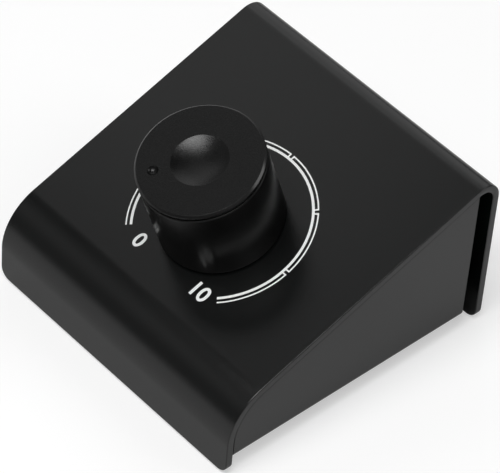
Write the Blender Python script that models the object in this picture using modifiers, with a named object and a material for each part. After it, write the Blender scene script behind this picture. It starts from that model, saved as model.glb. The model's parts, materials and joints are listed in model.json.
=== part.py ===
"""Desktop volume controller: a sloping sheet-steel case with one large knob and sockets at the rear.

Metres, +Z up. The front is towards -Y. The origin lies under the middle of the whole object, on the desk.
"""
import math

import bmesh
import bpy
from mathutils import Matrix, Vector

# Shared clearances and mesh fineness
SEAT_GAP = 0.0003
OVERRUN = 0.0020
MERGE_DISTANCE = 0.00001
ARC_STEP = math.radians(10.0)
FULL_TURN = math.tau
QUARTER_TURN = math.pi / 2

# Top sheet: lip, sloping top and rear leg bent from one piece
CASE_WIDTH = 0.0830
KNOB_SETBACK = 0.0329
KNOB_TO_REAR = 0.0496
FRONT_HEIGHT = 0.0195
TOP_SLOPE = math.radians(19.5)
SHEET = 0.0020
FRONT_BEND = 0.0145
REAR_BEND = 0.0056
CORNER_ROUND = 0.0030
EDGE_LIFT = 0.0006

# Base: floor and two side plates bent from one piece
PLATE = 0.0015
PLATE_INSET = 0.00025
PLATE_BEND = 0.0018
BASE_RISE = 0.0040
SIDE_SLOT = 0.0044

# Brackets that tie the base to the top sheet
BRACKET = 0.0012
BRACKET_BEND = 0.0018
FRONT_BRACKET_WIDTH = 0.0400
FRONT_FLANGE = 0.0090
FRONT_WEB_ROOM = 0.0041
UPPER_FLANGE_SHARE = 0.75
REAR_BRACKET_ROOM = 0.0020
REAR_BRACKET_HEIGHT = 0.0100
REAR_BRACKET_OVERLAP = 0.0090

# Feet
FOOT_RADIUS = 0.0050
FOOT_EDGE = 0.0006
FOOT_SIDE_INSET = 0.0125
FOOT_FRONT_INSET = 0.0110
FOOT_REAR_INSET = 0.0080

# Screws
SCREW_RADIUS = 0.0015
SCREW_TIP = 0.0005
SCREW_TAIL = 0.0020
HEAD_RADIUS = 0.0028
HEAD_HEIGHT = 0.0018
HEAD_CROWN_SHARE = 0.55
RECESS_ARM = 0.0014
RECESS_WIDTH = 0.0007
RECESS_DEPTH = 0.0010
BRACKET_SCREW_INSET = 0.0050
REAR_SCREW_RISE = 0.0055

# Knob
KNOB_RADIUS = 0.0156
KNOB_HEIGHT = 0.0251
KNOB_LIFT = 0.0006
KNOB_WALL = 0.0020
KNOB_ROOF = 0.0020
KNOB_EDGE = 0.0003
HUB_RADIUS = 0.0054
HUB_CLEARANCE = 0.0008
BORE_ROOF = 0.0024
GROOVE_HEIGHT = 0.0008
GROOVE_DEPTH = 0.0005
CAP_THICKNESS = 0.0011
CAP_EDGE = 0.0005
CAP_BOSS_RADIUS = 0.0094
CAP_BOSS_DEPTH = 0.0018
DIMPLE_RADIUS = 0.0070
DIMPLE_DEPTH = 0.0013
PIT_RADIUS = 0.00135
PIT_DEPTH = 0.0007
PIT_PLACE = 0.0111
PIT_ANGLE = math.radians(-125.0)
KNOB_STEPS = 48

# Rotary control behind the top: shaft, bushing, nut and two stacked gangs
SHAFT_RADIUS = 0.0030
SHAFT_FLAT = 0.0014
SHAFT_EDGE = 0.0004
BUSHING_RADIUS = 0.0045
BUSHING_RISE = 0.0042
POT_RADIUS = 0.0085
POT_PLATE = 0.0010
WASHER_RADIUS = 0.0070
WASHER = 0.0005
NUT_ACROSS = 0.0120
NUT_HEIGHT = 0.0022
GANG_HEIGHT = 0.0045
GANG_WALL = 0.0008
WAFER = 0.0012
WAFER_TONGUE_WIDTH = 0.0150
WAFER_TONGUE_REACH = 0.0020
POT_COVER = 0.0008
ROTOR_RADIUS = 0.0050
ROTOR = 0.0020
ROTOR_PLAY = 0.0004
LUG_WIDTH = 0.0022
LUG_REACH = 0.0018
LUG_ROOT = 0.0008
STOP_WIDTH = 0.0038
STOP_REACH = 0.0022
SCALE_BOTTOM = math.radians(-90.0)
KNOB_TRAVEL = math.radians(290.0)
POT_STEPS = 24
PIN_WIDTH = 0.0012
PIN_THICKNESS = 0.0005
PIN_LENGTH = 0.0040
PIN_PITCH = 0.0050
PINS = 3

# Phono sockets at the rear
SOCKET_REACH = 0.0095
SOCKET_PITCH = 0.0140
SOCKET_SIDE_INSET = 0.0175
SOCKET_FLOOR_ROOM = 0.0005
SHELL_RADIUS = 0.00415
SHELL_WALL = 0.0006
SHELL_EDGE = 0.0003
CONTACT_RADIUS = 0.0019
CONTACT_WALL = 0.0003
INSULATOR_RECESS = 0.0010
CONTACT_RECESS = 0.0006
SOCKET_BLOCK_WALL = 0.0016
SOCKET_BLOCK_DEPTH = 0.0100
SOCKET_STEPS = 24

# Stereo mini socket at the rear
MINI_BODY_WIDTH = 0.0090
MINI_BODY_HEIGHT = 0.0080
MINI_NOZZLE_RADIUS = 0.0030
MINI_NOZZLE_REACH = 0.0022
MINI_BORE_RADIUS = 0.0018
MINI_NUT_RADIUS = 0.0044
MINI_NUT = 0.0014
MINI_FLOOR = 0.0015

# Circuit board and hook-up wires
BOARD = 0.0016
BOARD_SIDE_ROOM = 0.0030
BOARD_TOP_ROOM = 0.0020
BOARD_BOTTOM_ROOM = 0.0050
WIRE_RADIUS = 0.0006
WIRE_SAG = 0.0060
WIRE_POINTS = 10
WIRE_ROW_SHARES = (0.72, 0.42)

# Places worked out from the sizes above
CASE_DEPTH = KNOB_SETBACK + KNOB_TO_REAR
Y_FRONT = -(CASE_DEPTH + SOCKET_REACH) / 2
Y_REAR = Y_FRONT + CASE_DEPTH
LEG_INNER = Y_REAR - SHEET
SIDE_REAR = LEG_INNER - SIDE_SLOT
BASE_BOTTOM = EDGE_LIFT + BASE_RISE
BASE_TOP = BASE_BOTTOM + PLATE
FLANGE_BOTTOM = BASE_TOP + SEAT_GAP
KNOB_Y = Y_FRONT + KNOB_SETBACK
BORE_RADIUS = SHAFT_RADIUS + SEAT_GAP
SOCKET_X = CASE_WIDTH / 2 - SOCKET_SIDE_INSET
SOCKET_BLOCK_HALF = SHELL_RADIUS + SEAT_GAP + SOCKET_BLOCK_WALL
REAR_BRACKET_WIDTH = 2 * (SOCKET_X - SOCKET_BLOCK_HALF - REAR_BRACKET_ROOM)
SOCKET_FRONT = LEG_INNER - SEAT_GAP - SOCKET_BLOCK_DEPTH
BOARD_REAR = SOCKET_FRONT - SEAT_GAP
BOARD_FRONT = BOARD_REAR - BOARD

# Finishes: colour, roughness, metallic
POWDER_BLACK = ((0.030, 0.033, 0.032), 0.45, 0.0)
SATIN_BLACK = ((0.028, 0.029, 0.029), 0.50, 0.0)
GLOSS_BLACK = ((0.006, 0.006, 0.006), 0.18, 0.0)
RUBBER_BLACK = ((0.020, 0.020, 0.020), 0.85, 0.0)
PLASTIC_BLACK = ((0.015, 0.015, 0.016), 0.45, 0.0)
PLASTIC_WHITE = ((0.780, 0.780, 0.760), 0.40, 0.0)
PLASTIC_RED = ((0.500, 0.020, 0.020), 0.40, 0.0)
ZINC = ((0.560, 0.570, 0.580), 0.35, 1.0)
NICKEL = ((0.720, 0.700, 0.660), 0.20, 1.0)
BRASS = ((0.720, 0.560, 0.280), 0.30, 1.0)
ALUMINIUM = ((0.780, 0.780, 0.790), 0.30, 1.0)
PHENOLIC = ((0.280, 0.140, 0.060), 0.60, 0.0)
LAMINATE = ((0.030, 0.180, 0.080), 0.40, 0.0)

# Ways to lay a drawn outline into the model: across, up and through
SIDE_VIEW = (Vector((0, 1, 0)), Vector((0, 0, 1)), Vector((1, 0, 0)))
FRONT_VIEW = (Vector((1, 0, 0)), Vector((0, 0, 1)), Vector((0, -1, 0)))
TOP_VIEW = (Vector((1, 0, 0)), Vector((0, 1, 0)), Vector((0, 0, 1)))

# Turns that point a turned piece's own +Z to the rear or to the floor
TO_REAR = (-QUARTER_TURN, 0, 0)
TO_FLOOR = (math.pi, 0, 0)


def clear_scene():
    """Remove every object of the open scene."""
    for item in list(bpy.data.objects):
        bpy.data.objects.remove(item, do_unlink=True)


def new_collection(name):
    """Add a collection to the scene."""
    collection = bpy.data.collections.new(name)
    bpy.context.scene.collection.children.link(collection)
    return collection


clear_scene()
PARTS = new_collection("volume_controller")
CUTTERS = new_collection("cutters")


def top_height(y, depth=0.0):
    """Height of the sloping top at y, or of the plane that lies depth under it."""
    rise = (y - Y_FRONT) * math.tan(TOP_SLOPE)
    return EDGE_LIFT + FRONT_HEIGHT + rise - depth / math.cos(TOP_SLOPE)


def finish_piece(piece, finish):
    """Put a piece into the model's collection and give it its own material."""
    colour, roughness, metallic = finish
    material = bpy.data.materials.new(piece.name + "_finish")
    material.use_nodes = True
    shader = material.node_tree.nodes["Principled BSDF"]
    shader.inputs["Base Color"].default_value = (*colour, 1.0)
    shader.inputs["Roughness"].default_value = roughness
    shader.inputs["Metallic"].default_value = metallic
    piece.data.materials.append(material)
    PARTS.objects.link(piece)
    return piece


def hide_cutter(cutter):
    """Put a cutter into the cutters' collection, out of the model."""
    CUTTERS.objects.link(cutter)
    cutter.hide_render = True
    cutter.display_type = "WIRE"
    return cutter


def seat(item, location=(0, 0, 0), rotation=(0, 0, 0), parent=None):
    """Place an object by its location, rotation and parent."""
    item.location = location
    item.rotation_euler = rotation
    item.parent = parent
    return item


def cut(piece, cutter, operation="DIFFERENCE"):
    """Let a cutter shape a piece."""
    modifier = piece.modifiers.new(operation.lower(), "BOOLEAN")
    modifier.operation = operation
    modifier.solver = "EXACT"
    modifier.object = cutter


def shaped(name, build, smooth=False):
    """Make a mesh object from a function that fills a bmesh."""
    shape = bmesh.new()
    build(shape)
    mesh = bpy.data.meshes.new(name)
    shape.to_mesh(mesh)
    shape.free()
    if smooth:
        mesh.shade_smooth()
        mesh.set_sharp_from_angle(angle=math.radians(35.0))
    return bpy.data.objects.new(name, mesh)


def box(name, low, high):
    """A block between two opposite corners."""
    low, high = Vector(low), Vector(high)
    middle, size = (low + high) / 2, high - low

    def build(shape):
        made = bmesh.ops.create_cube(shape, size=1.0)
        bmesh.ops.scale(shape, vec=size, verts=made["verts"])

    return seat(shaped(name, build), middle)


def rod(name, radius, bottom, top, steps, turn=0.0):
    """A cylinder along Z from bottom to top, or a prism where it has few steps."""
    def build(shape):
        bmesh.ops.create_cone(shape, cap_ends=True, segments=steps, radius1=radius, radius2=radius,
                              depth=top - bottom, matrix=Matrix.Rotation(turn, 4, "Z"))
        bmesh.ops.translate(shape, vec=(0, 0, (top + bottom) / 2), verts=shape.verts)

    return shaped(name, build, smooth=True)


def turned(name, profile, steps, closed=False):
    """A turned piece: a profile of radius and height, outer side from top to bottom, spun about Z."""
    def build(shape):
        points = [shape.verts.new((radius, 0, height)) for radius, height in profile]
        for start, end in zip(points, points[1:]):
            shape.edges.new((start, end))
        if closed:
            shape.edges.new((points[-1], points[0]))

    piece = shaped(name, build)
    turn = piece.modifiers.new("turn", "SCREW")
    turn.axis = "Z"
    turn.angle = FULL_TURN
    turn.steps = steps
    turn.render_steps = steps
    turn.use_merge_vertices = True
    turn.merge_threshold = MERGE_DISTANCE
    turn.use_smooth_shade = True
    return piece


def ring_profile(outer, inner, bottom, top):
    """Closed profile of a plain ring."""
    return [(outer, top), (outer, bottom), (inner, bottom), (inner, top)]


def arc_points(centre, radius, start, end):
    """Points of an arc, both ends included."""
    count = max(2, math.ceil(abs(end - start) / ARC_STEP))
    angles = [start + (end - start) * index / count for index in range(count + 1)]
    return [(centre[0] + radius * math.cos(a), centre[1] + radius * math.sin(a)) for a in angles]


def fillet(before, corner, after, radius):
    """Points that round one corner of a path."""
    corner = Vector(corner)
    back = (Vector(before) - corner).normalized()
    onward = (Vector(after) - corner).normalized()
    if radius <= 0:
        return [tuple(corner)]
    opening = back.angle(onward)
    reach = radius / math.tan(opening / 2)
    centre = corner + (back + onward).normalized() * radius / math.sin(opening / 2)
    first, last = corner + back * reach - centre, corner + onward * reach - centre
    start = math.atan2(first.y, first.x)
    sweep = math.atan2(first.x * last.y - first.y * last.x, first.dot(last))
    return arc_points(centre, radius, start, start + sweep)


def rounded_path(corners, radii):
    """An open path whose inner corners are rounded."""
    path = [corners[0]]
    for before, corner, after, radius in zip(corners, corners[1:], corners[2:], radii[1:]):
        path += fillet(before, corner, after, radius)
    return path + [corners[-1]]


def rounded_outline(corners, radii):
    """A closed outline whose corners are rounded."""
    outline = []
    for index, (corner, radius) in enumerate(zip(corners, radii)):
        after = corners[(index + 1) % len(corners)]
        outline += fillet(corners[index - 1], corner, after, radius)
    return outline


def bent_sheet(name, path, view, start, end, thickness, outward):
    """Sheet metal bent along a path, from start to end through the view, thickened away from outward."""
    across, up, through = view

    def build(shape):
        points = [shape.verts.new(across * a + up * b + through * start) for a, b in path]
        edges = [shape.edges.new(pair) for pair in zip(points, points[1:])]
        swept = bmesh.ops.extrude_edge_only(shape, edges=edges)["geom"]
        moved = [item for item in swept if isinstance(item, bmesh.types.BMVert)]
        bmesh.ops.translate(shape, vec=through * (end - start), verts=moved)
        bmesh.ops.recalc_face_normals(shape, faces=shape.faces)
        outermost = max(shape.faces, key=lambda face: face.calc_center_median().dot(outward))
        if outermost.normal.dot(outward) < 0:
            bmesh.ops.reverse_faces(shape, faces=shape.faces)

    piece = shaped(name, build, smooth=True)
    wall = piece.modifiers.new("wall", "SOLIDIFY")
    wall.thickness = thickness
    wall.offset = -1.0
    wall.use_even_offset = True
    return piece


def prism(name, outline, view, start, end):
    """A mesh with a flat drawn outline, from start to end through the view."""
    across, up, through = view
    drawing = bpy.data.curves.new(name, "CURVE")
    drawing.dimensions = "2D"
    drawing.fill_mode = "BOTH"
    drawing.extrude = (end - start) / 2
    spline = drawing.splines.new("POLY")
    spline.points.add(len(outline) - 1)
    for point, (a, b) in zip(spline.points, outline):
        point.co = (a, b, 0, 1)
    spline.use_cyclic_u = True
    drawn = bpy.data.objects.new(name + "_drawing", drawing)
    CUTTERS.objects.link(drawn)
    laid = Matrix((across, up, through)).transposed().to_4x4()
    laid.translation = through * (start + end) / 2
    drawn.matrix_world = laid
    bpy.context.view_layer.update()
    seen = drawn.evaluated_get(bpy.context.evaluated_depsgraph_get())
    mesh = bpy.data.meshes.new_from_object(seen)
    shape = bmesh.new()
    shape.from_mesh(mesh)
    bmesh.ops.remove_doubles(shape, verts=shape.verts, dist=MERGE_DISTANCE)
    bmesh.ops.recalc_face_normals(shape, faces=shape.faces)
    shape.to_mesh(mesh)
    shape.free()
    piece = bpy.data.objects.new(name, mesh)
    piece.matrix_world = drawn.matrix_world
    bpy.data.objects.remove(drawn, do_unlink=True)
    return piece


def drill(piece, name, radius, bottom, top, location, rotation=(0, 0, 0), parent=None):
    """Drill a round hole along the turned Z of a place."""
    cutter = hide_cutter(rod(name, radius, bottom, top, POT_STEPS))
    seat(cutter, location, rotation, parent)
    cut(piece, cutter)


def empty(name, location, rotation=(0, 0, 0), parent=None):
    """A frame that pieces are placed in."""
    frame = bpy.data.objects.new(name, None)
    PARTS.objects.link(frame)
    return seat(frame, location, rotation, parent)


def socket_heights():
    """Heights of the lower and upper phono socket of a pair, whose block stands just over the base."""
    lower = BASE_TOP + SOCKET_FLOOR_ROOM + SOCKET_BLOCK_HALF
    return lower, lower + SOCKET_PITCH


def mini_socket_height():
    """Height of the stereo mini socket, half-way between the base and the top sheet."""
    return (BASE_TOP + top_height(BOARD_FRONT, SHEET)) / 2


def base_screw_places():
    """Places of the screws that rise through the base, front pair then rear pair."""
    front = (FRONT_BRACKET_WIDTH / 2 - BRACKET_SCREW_INSET, front_web_y() - FRONT_FLANGE / 2)
    rear = (REAR_BRACKET_WIDTH / 2 - BRACKET_SCREW_INSET, SIDE_REAR - REAR_BRACKET_OVERLAP / 2)
    return [(side * x, y) for x, y in (front, rear) for side in (-1, 1)]


def rear_screw_places():
    """Places of the screws through the rear leg."""
    x = REAR_BRACKET_WIDTH / 2 - BRACKET_SCREW_INSET
    return [(side * x, BASE_TOP + REAR_SCREW_RISE) for side in (-1, 1)]


def front_web_y():
    """Front face of the front bracket's upright web."""
    return KNOB_Y - POT_RADIUS - FRONT_WEB_ROOM


def make_top_sheet(panel):
    """Lip, sloping top and rear leg, with the holes for the control, the sockets and the screws."""
    low = EDGE_LIFT - OVERRUN
    corners = [(Y_REAR, low), (Y_REAR, top_height(Y_REAR)), (Y_FRONT, top_height(Y_FRONT)), (Y_FRONT, low)]
    path = rounded_path(corners, [0, REAR_BEND, FRONT_BEND, 0])
    half = CASE_WIDTH / 2
    sheet = bent_sheet("top_sheet", path, SIDE_VIEW, -half - OVERRUN, half + OVERRUN, SHEET, Vector((0, 1, 0)))
    ceiling = top_height(Y_REAR) + OVERRUN
    face = [(-half, EDGE_LIFT), (half, EDGE_LIFT), (half, ceiling), (-half, ceiling)]
    outline = rounded_outline(face, [CORNER_ROUND, CORNER_ROUND, 0, 0])
    trim = prism("top_sheet_trim", outline, FRONT_VIEW, -Y_REAR - OVERRUN, -Y_FRONT + OVERRUN)
    cut(sheet, hide_cutter(trim), "INTERSECT")
    bushing_hole = BUSHING_RADIUS + SEAT_GAP
    drill(sheet, "bushing_hole", bushing_hole, -SHEET - OVERRUN, OVERRUN, (0, 0, 0), parent=panel)
    for index, (x, z) in enumerate(socket_places()):
        place = (x, LEG_INNER, z)
        drill(sheet, f"leg_hole_{index}", SHELL_RADIUS + SEAT_GAP, -OVERRUN, SHEET + OVERRUN, place, TO_REAR)
    place = (0, LEG_INNER, mini_socket_height())
    drill(sheet, "mini_hole", MINI_NOZZLE_RADIUS + SEAT_GAP, -OVERRUN, SHEET + OVERRUN, place, TO_REAR)
    for index, (x, z) in enumerate(rear_screw_places()):
        place = (x, LEG_INNER, z)
        drill(sheet, f"leg_screw_hole_{index}", SCREW_RADIUS + SEAT_GAP, -OVERRUN, SHEET + OVERRUN, place, TO_REAR)
    return finish_piece(sheet, POWDER_BLACK)


def make_base():
    """Floor and side plates, trimmed to the inside of the top sheet."""
    edge = CASE_WIDTH / 2 - PLATE_INSET
    top = top_height(Y_REAR)
    corners = [(-edge, top), (-edge, BASE_BOTTOM), (edge, BASE_BOTTOM), (edge, top)]
    path = rounded_path(corners, [0, PLATE_BEND, PLATE_BEND, 0])
    base = bent_sheet("base_chassis", path, FRONT_VIEW, -SIDE_REAR, -Y_FRONT, PLATE, Vector((-1, 0, 0)))
    inset = SHEET + SEAT_GAP
    front, rear = Y_FRONT + inset, Y_REAR - inset
    room = [(front, -OVERRUN), (rear, -OVERRUN), (rear, top_height(rear, inset)), (front, top_height(front, inset))]
    outline = rounded_outline(room, [0, 0, REAR_BEND - inset, FRONT_BEND - inset])
    trim = prism("base_trim", outline, SIDE_VIEW, -CASE_WIDTH, CASE_WIDTH)
    cut(base, hide_cutter(trim), "INTERSECT")
    for index, (x, y) in enumerate(base_screw_places()):
        drill(base, f"base_screw_hole_{index}", SCREW_RADIUS + SEAT_GAP, -OVERRUN, PLATE + OVERRUN, (x, y, BASE_BOTTOM))
    return finish_piece(base, POWDER_BLACK)


def make_brackets():
    """Front bracket between base and top, and rear bracket between base and leg."""
    web = front_web_y()
    under = SHEET + SEAT_GAP
    curl_start = Y_FRONT + FRONT_BEND - (FRONT_BEND - under) * math.sin(TOP_SLOPE)
    tip = web - (web - curl_start) * UPPER_FLANGE_SHARE
    corners = [(web - FRONT_FLANGE, FLANGE_BOTTOM), (web, FLANGE_BOTTOM),
               (web, top_height(web, under)), (tip, top_height(tip, under))]
    path = rounded_path(corners, [0, BRACKET_BEND, BRACKET_BEND, 0])
    half = FRONT_BRACKET_WIDTH / 2
    front = bent_sheet("front_bracket", path, SIDE_VIEW, -half, half, BRACKET, Vector((0, 0, -1)))
    heel = LEG_INNER - SEAT_GAP
    corners = [(SIDE_REAR - REAR_BRACKET_OVERLAP, FLANGE_BOTTOM), (heel, FLANGE_BOTTOM),
               (heel, FLANGE_BOTTOM + REAR_BRACKET_HEIGHT)]
    path = rounded_path(corners, [0, BRACKET_BEND, 0])
    half = REAR_BRACKET_WIDTH / 2
    rear = bent_sheet("rear_bracket", path, SIDE_VIEW, -half, half, BRACKET, Vector((0, 0, -1)))
    holder = {0: front, 1: front, 2: rear, 3: rear}
    hole = SCREW_RADIUS + SEAT_GAP
    for index, (x, y) in enumerate(base_screw_places()):
        place = (x, y, FLANGE_BOTTOM)
        drill(holder[index], f"flange_hole_{index}", hole, -OVERRUN, BRACKET + OVERRUN, place)
    for index, (x, z) in enumerate(rear_screw_places()):
        drill(rear, f"heel_hole_{index}", hole, -BRACKET - OVERRUN, OVERRUN, (x, heel, z), TO_REAR)
    finish_piece(front, ZINC)
    finish_piece(rear, ZINC)


def make_feet():
    """Four rubber feet under the base."""
    height = BASE_BOTTOM - SEAT_GAP
    sole = FOOT_RADIUS - FOOT_EDGE
    profile = [(0, height), (FOOT_RADIUS, height), (FOOT_RADIUS, FOOT_EDGE), (sole, 0), (0, 0)]
    side = CASE_WIDTH / 2 - FOOT_SIDE_INSET
    front, rear = Y_FRONT + FOOT_FRONT_INSET, SIDE_REAR - FOOT_REAR_INSET
    places = {"front_left": (-side, front), "front_right": (side, front),
              "rear_left": (-side, rear), "rear_right": (side, rear)}
    for where, (x, y) in places.items():
        foot = seat(turned("foot_" + where, profile, POT_STEPS), (x, y, 0))
        finish_piece(foot, RUBBER_BLACK)


def cross_outline():
    """Plus sign of a screwdriver recess."""
    half = RECESS_WIDTH / 2
    outline = []
    for quarter in range(4):
        turn = Matrix.Rotation(quarter * QUARTER_TURN, 2)
        outline += [tuple(turn @ Vector(point)) for point in ((RECESS_ARM, -half), (RECESS_ARM, half), (half, half))]
    return outline


def make_screw(name, shank, location, rotation):
    """Pan-head screw whose head seats at its origin and points along +Z."""
    crown = HEAD_HEIGHT * HEAD_CROWN_SHARE
    profile = [(0, HEAD_HEIGHT), (HEAD_RADIUS * HEAD_CROWN_SHARE, HEAD_HEIGHT), (HEAD_RADIUS, crown), (HEAD_RADIUS, 0),
               (SCREW_RADIUS, 0), (SCREW_RADIUS, SCREW_TIP - shank), (SCREW_RADIUS - SCREW_TIP, -shank), (0, -shank)]
    screw = seat(turned(name, profile, POT_STEPS), location, rotation)
    recess = prism(name + "_recess", cross_outline(), TOP_VIEW, HEAD_HEIGHT - RECESS_DEPTH, HEAD_HEIGHT + OVERRUN)
    depth = recess.location.z
    seat(hide_cutter(recess), (0, 0, depth), parent=screw)
    cut(screw, recess)
    return finish_piece(screw, ZINC)


def make_screws():
    """Four screws up through the base and two through the rear leg."""
    shank = PLATE + BRACKET + 2 * SEAT_GAP + SCREW_TAIL
    names = ("front_left", "front_right", "rear_left", "rear_right")
    for where, (x, y) in zip(names, base_screw_places()):
        make_screw("base_screw_" + where, shank, (x, y, BASE_BOTTOM - SEAT_GAP), TO_FLOOR)
    shank = SHEET + BRACKET + 2 * SEAT_GAP + SCREW_TAIL
    for where, (x, z) in zip(("left", "right"), rear_screw_places()):
        make_screw("rear_screw_" + where, shank, (x, Y_REAR + SEAT_GAP, z), TO_REAR)


def flat_rod(name, radius, flat, bottom, top):
    """A rod along Z with one flat side, at flat from its axis towards +Y."""
    def build(shape):
        bmesh.ops.create_cone(shape, cap_ends=True, segments=POT_STEPS, radius1=radius, radius2=radius, depth=top - bottom)
        bmesh.ops.translate(shape, vec=(0, 0, (top + bottom) / 2), verts=shape.verts)
        everything = shape.verts[:] + shape.edges[:] + shape.faces[:]
        kept = bmesh.ops.bisect_plane(shape, geom=everything, plane_co=(0, flat, 0), plane_no=(0, 1, 0), clear_outer=True)
        rim = [item for item in kept["geom_cut"] if isinstance(item, bmesh.types.BMEdge)]
        bmesh.ops.edgeloop_fill(shape, edges=rim)
        bmesh.ops.recalc_face_normals(shape, faces=shape.faces)

    return shaped(name, build, smooth=True)


def make_knob(axis):
    """Hollow knob body and the dished cap on it."""
    neck_top = KNOB_HEIGHT - CAP_THICKNESS - SEAT_GAP
    shoulder = KNOB_HEIGHT - CAP_THICKNESS - GROOVE_HEIGHT
    recess_floor = KNOB_HEIGHT - CAP_THICKNESS - CAP_BOSS_DEPTH - SEAT_GAP
    ceiling = recess_floor - KNOB_ROOF
    recess = CAP_BOSS_RADIUS + SEAT_GAP
    neck = KNOB_RADIUS - GROOVE_DEPTH
    inside = KNOB_RADIUS - KNOB_WALL
    hub_bottom = BUSHING_RISE + HUB_CLEARANCE
    profile = [(0, recess_floor), (recess, recess_floor), (recess, neck_top), (neck, neck_top), (neck, shoulder),
               (KNOB_RADIUS - KNOB_EDGE, shoulder), (KNOB_RADIUS, shoulder - KNOB_EDGE),
               (KNOB_RADIUS, KNOB_LIFT + KNOB_EDGE), (KNOB_RADIUS - KNOB_EDGE, KNOB_LIFT), (inside, KNOB_LIFT),
               (inside, ceiling), (HUB_RADIUS, ceiling), (HUB_RADIUS, hub_bottom), (0, hub_bottom)]
    body = seat(turned("knob_body", profile, KNOB_STEPS), parent=axis)
    bore_top = ceiling - BORE_ROOF
    bore = flat_rod("knob_bore", BORE_RADIUS, SHAFT_RADIUS - SHAFT_FLAT + SEAT_GAP, hub_bottom - OVERRUN, bore_top)
    seat(hide_cutter(bore), parent=axis)
    cut(body, bore)
    finish_piece(body, GLOSS_BLACK)

    bowl = (DIMPLE_RADIUS ** 2 + DIMPLE_DEPTH ** 2) / (2 * DIMPLE_DEPTH)
    reach = math.asin(DIMPLE_RADIUS / bowl)
    centre = (0, KNOB_HEIGHT - DIMPLE_DEPTH + bowl)
    dish = arc_points(centre, bowl, -QUARTER_TURN, -QUARTER_TURN + reach)
    edge = arc_points((KNOB_RADIUS - CAP_EDGE, KNOB_HEIGHT - CAP_EDGE), CAP_EDGE, QUARTER_TURN, 0)
    under = KNOB_HEIGHT - CAP_THICKNESS
    boss = under - CAP_BOSS_DEPTH
    profile = [(0, KNOB_HEIGHT - DIMPLE_DEPTH)] + dish[1:] + edge
    profile += [(KNOB_RADIUS, under), (CAP_BOSS_RADIUS, under), (CAP_BOSS_RADIUS, boss), (0, boss)]
    cap = seat(turned("knob_cap", profile, KNOB_STEPS), parent=axis)
    ball = (PIT_RADIUS ** 2 + PIT_DEPTH ** 2) / (2 * PIT_DEPTH)
    place = (PIT_PLACE * math.cos(PIT_ANGLE), PIT_PLACE * math.sin(PIT_ANGLE), KNOB_HEIGHT - PIT_DEPTH + ball)

    def build(shape):
        bmesh.ops.create_uvsphere(shape, u_segments=POT_STEPS, v_segments=POT_STEPS // 2, radius=ball)

    pit = seat(hide_cutter(shaped("knob_pit", build, smooth=True)), place, parent=axis)
    cut(cap, pit)
    finish_piece(cap, SATIN_BLACK)
    return bore_top


def gang_places():
    """Top of each gang's housing, counted from the outer face of the top sheet."""
    first = -(SHEET + POT_PLATE + 2 * SEAT_GAP)
    step = GANG_HEIGHT + WAFER + 2 * SEAT_GAP
    return {"front": first, "rear": first - step}


def make_rotor(name, housing_top, axis):
    """Wiper carrier on the shaft, with the lug that meets the stop."""
    top = housing_top - GANG_WALL - ROTOR_PLAY
    rotor = turned(name, ring_profile(ROTOR_RADIUS, BORE_RADIUS, top - ROTOR, top), POT_STEPS, closed=True)
    seat(rotor, parent=axis)
    travel_left = FULL_TURN - KNOB_TRAVEL
    angle = SCALE_BOTTOM - travel_left / 2
    inner, outer = ROTOR_RADIUS - LUG_ROOT, ROTOR_RADIUS + LUG_REACH
    lug = box(name + "_lug", (inner, -LUG_WIDTH / 2, 0), (outer, LUG_WIDTH / 2, ROTOR - 2 * LUG_ROOT))
    middle = (inner + outer) / 2
    place = (middle * math.cos(angle), middle * math.sin(angle), top - ROTOR / 2)
    seat(hide_cutter(lug), place, (0, 0, angle), axis)
    cut(rotor, lug, "UNION")
    return finish_piece(rotor, PLASTIC_BLACK)


def make_gang(where, top, panel):
    """Housing cup with its stop rib, and the wafer that closes it."""
    bottom = top - GANG_HEIGHT
    inside = POT_RADIUS - GANG_WALL
    profile = [(POT_RADIUS, top), (POT_RADIUS, bottom), (inside, bottom), (inside, top - GANG_WALL),
               (BORE_RADIUS, top - GANG_WALL), (BORE_RADIUS, top)]
    housing = seat(turned("pot_housing_" + where, profile, POT_STEPS, closed=True), parent=panel)
    root, tip = inside + GANG_WALL / 2, inside - STOP_REACH
    rib = box(f"stop_{where}", (tip, -STOP_WIDTH / 2, 0), (root, STOP_WIDTH / 2, GANG_HEIGHT - 2 * GANG_WALL))
    middle = (root + tip) / 2
    place = (middle * math.cos(SCALE_BOTTOM), middle * math.sin(SCALE_BOTTOM), (top + bottom) / 2)
    seat(hide_cutter(rib), place, (0, 0, SCALE_BOTTOM), panel)
    cut(housing, rib, "UNION")
    finish_piece(housing, ZINC)

    wafer_top = bottom - SEAT_GAP
    wafer_bottom = wafer_top - WAFER
    wafer = seat(rod("pot_wafer_" + where, POT_RADIUS, wafer_bottom, wafer_top, POT_STEPS), parent=panel)
    reach = POT_RADIUS + WAFER_TONGUE_REACH
    half = WAFER_TONGUE_WIDTH / 2
    tongue = box("tongue_" + where, (-half, 0, wafer_bottom), (half, reach, wafer_top))
    tongue.parent = panel
    cut(wafer, hide_cutter(tongue), "UNION")
    drill(wafer, "wafer_hole_" + where, BORE_RADIUS, wafer_bottom - OVERRUN, wafer_top + OVERRUN, (0, 0, 0), parent=panel)
    finish_piece(wafer, PHENOLIC)

    level = (wafer_top + wafer_bottom) / 2
    start = reach + SEAT_GAP
    for index in range(PINS):
        x = (index - (PINS - 1) / 2) * PIN_PITCH
        low = (x - PIN_WIDTH / 2, start, level - PIN_THICKNESS / 2)
        high = (x + PIN_WIDTH / 2, start + PIN_LENGTH, level + PIN_THICKNESS / 2)
        pin = box(f"pot_pin_{where}_{index + 1}", low, high)
        pin.parent = panel
        finish_piece(pin, NICKEL)
    return level, start + PIN_LENGTH


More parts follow.
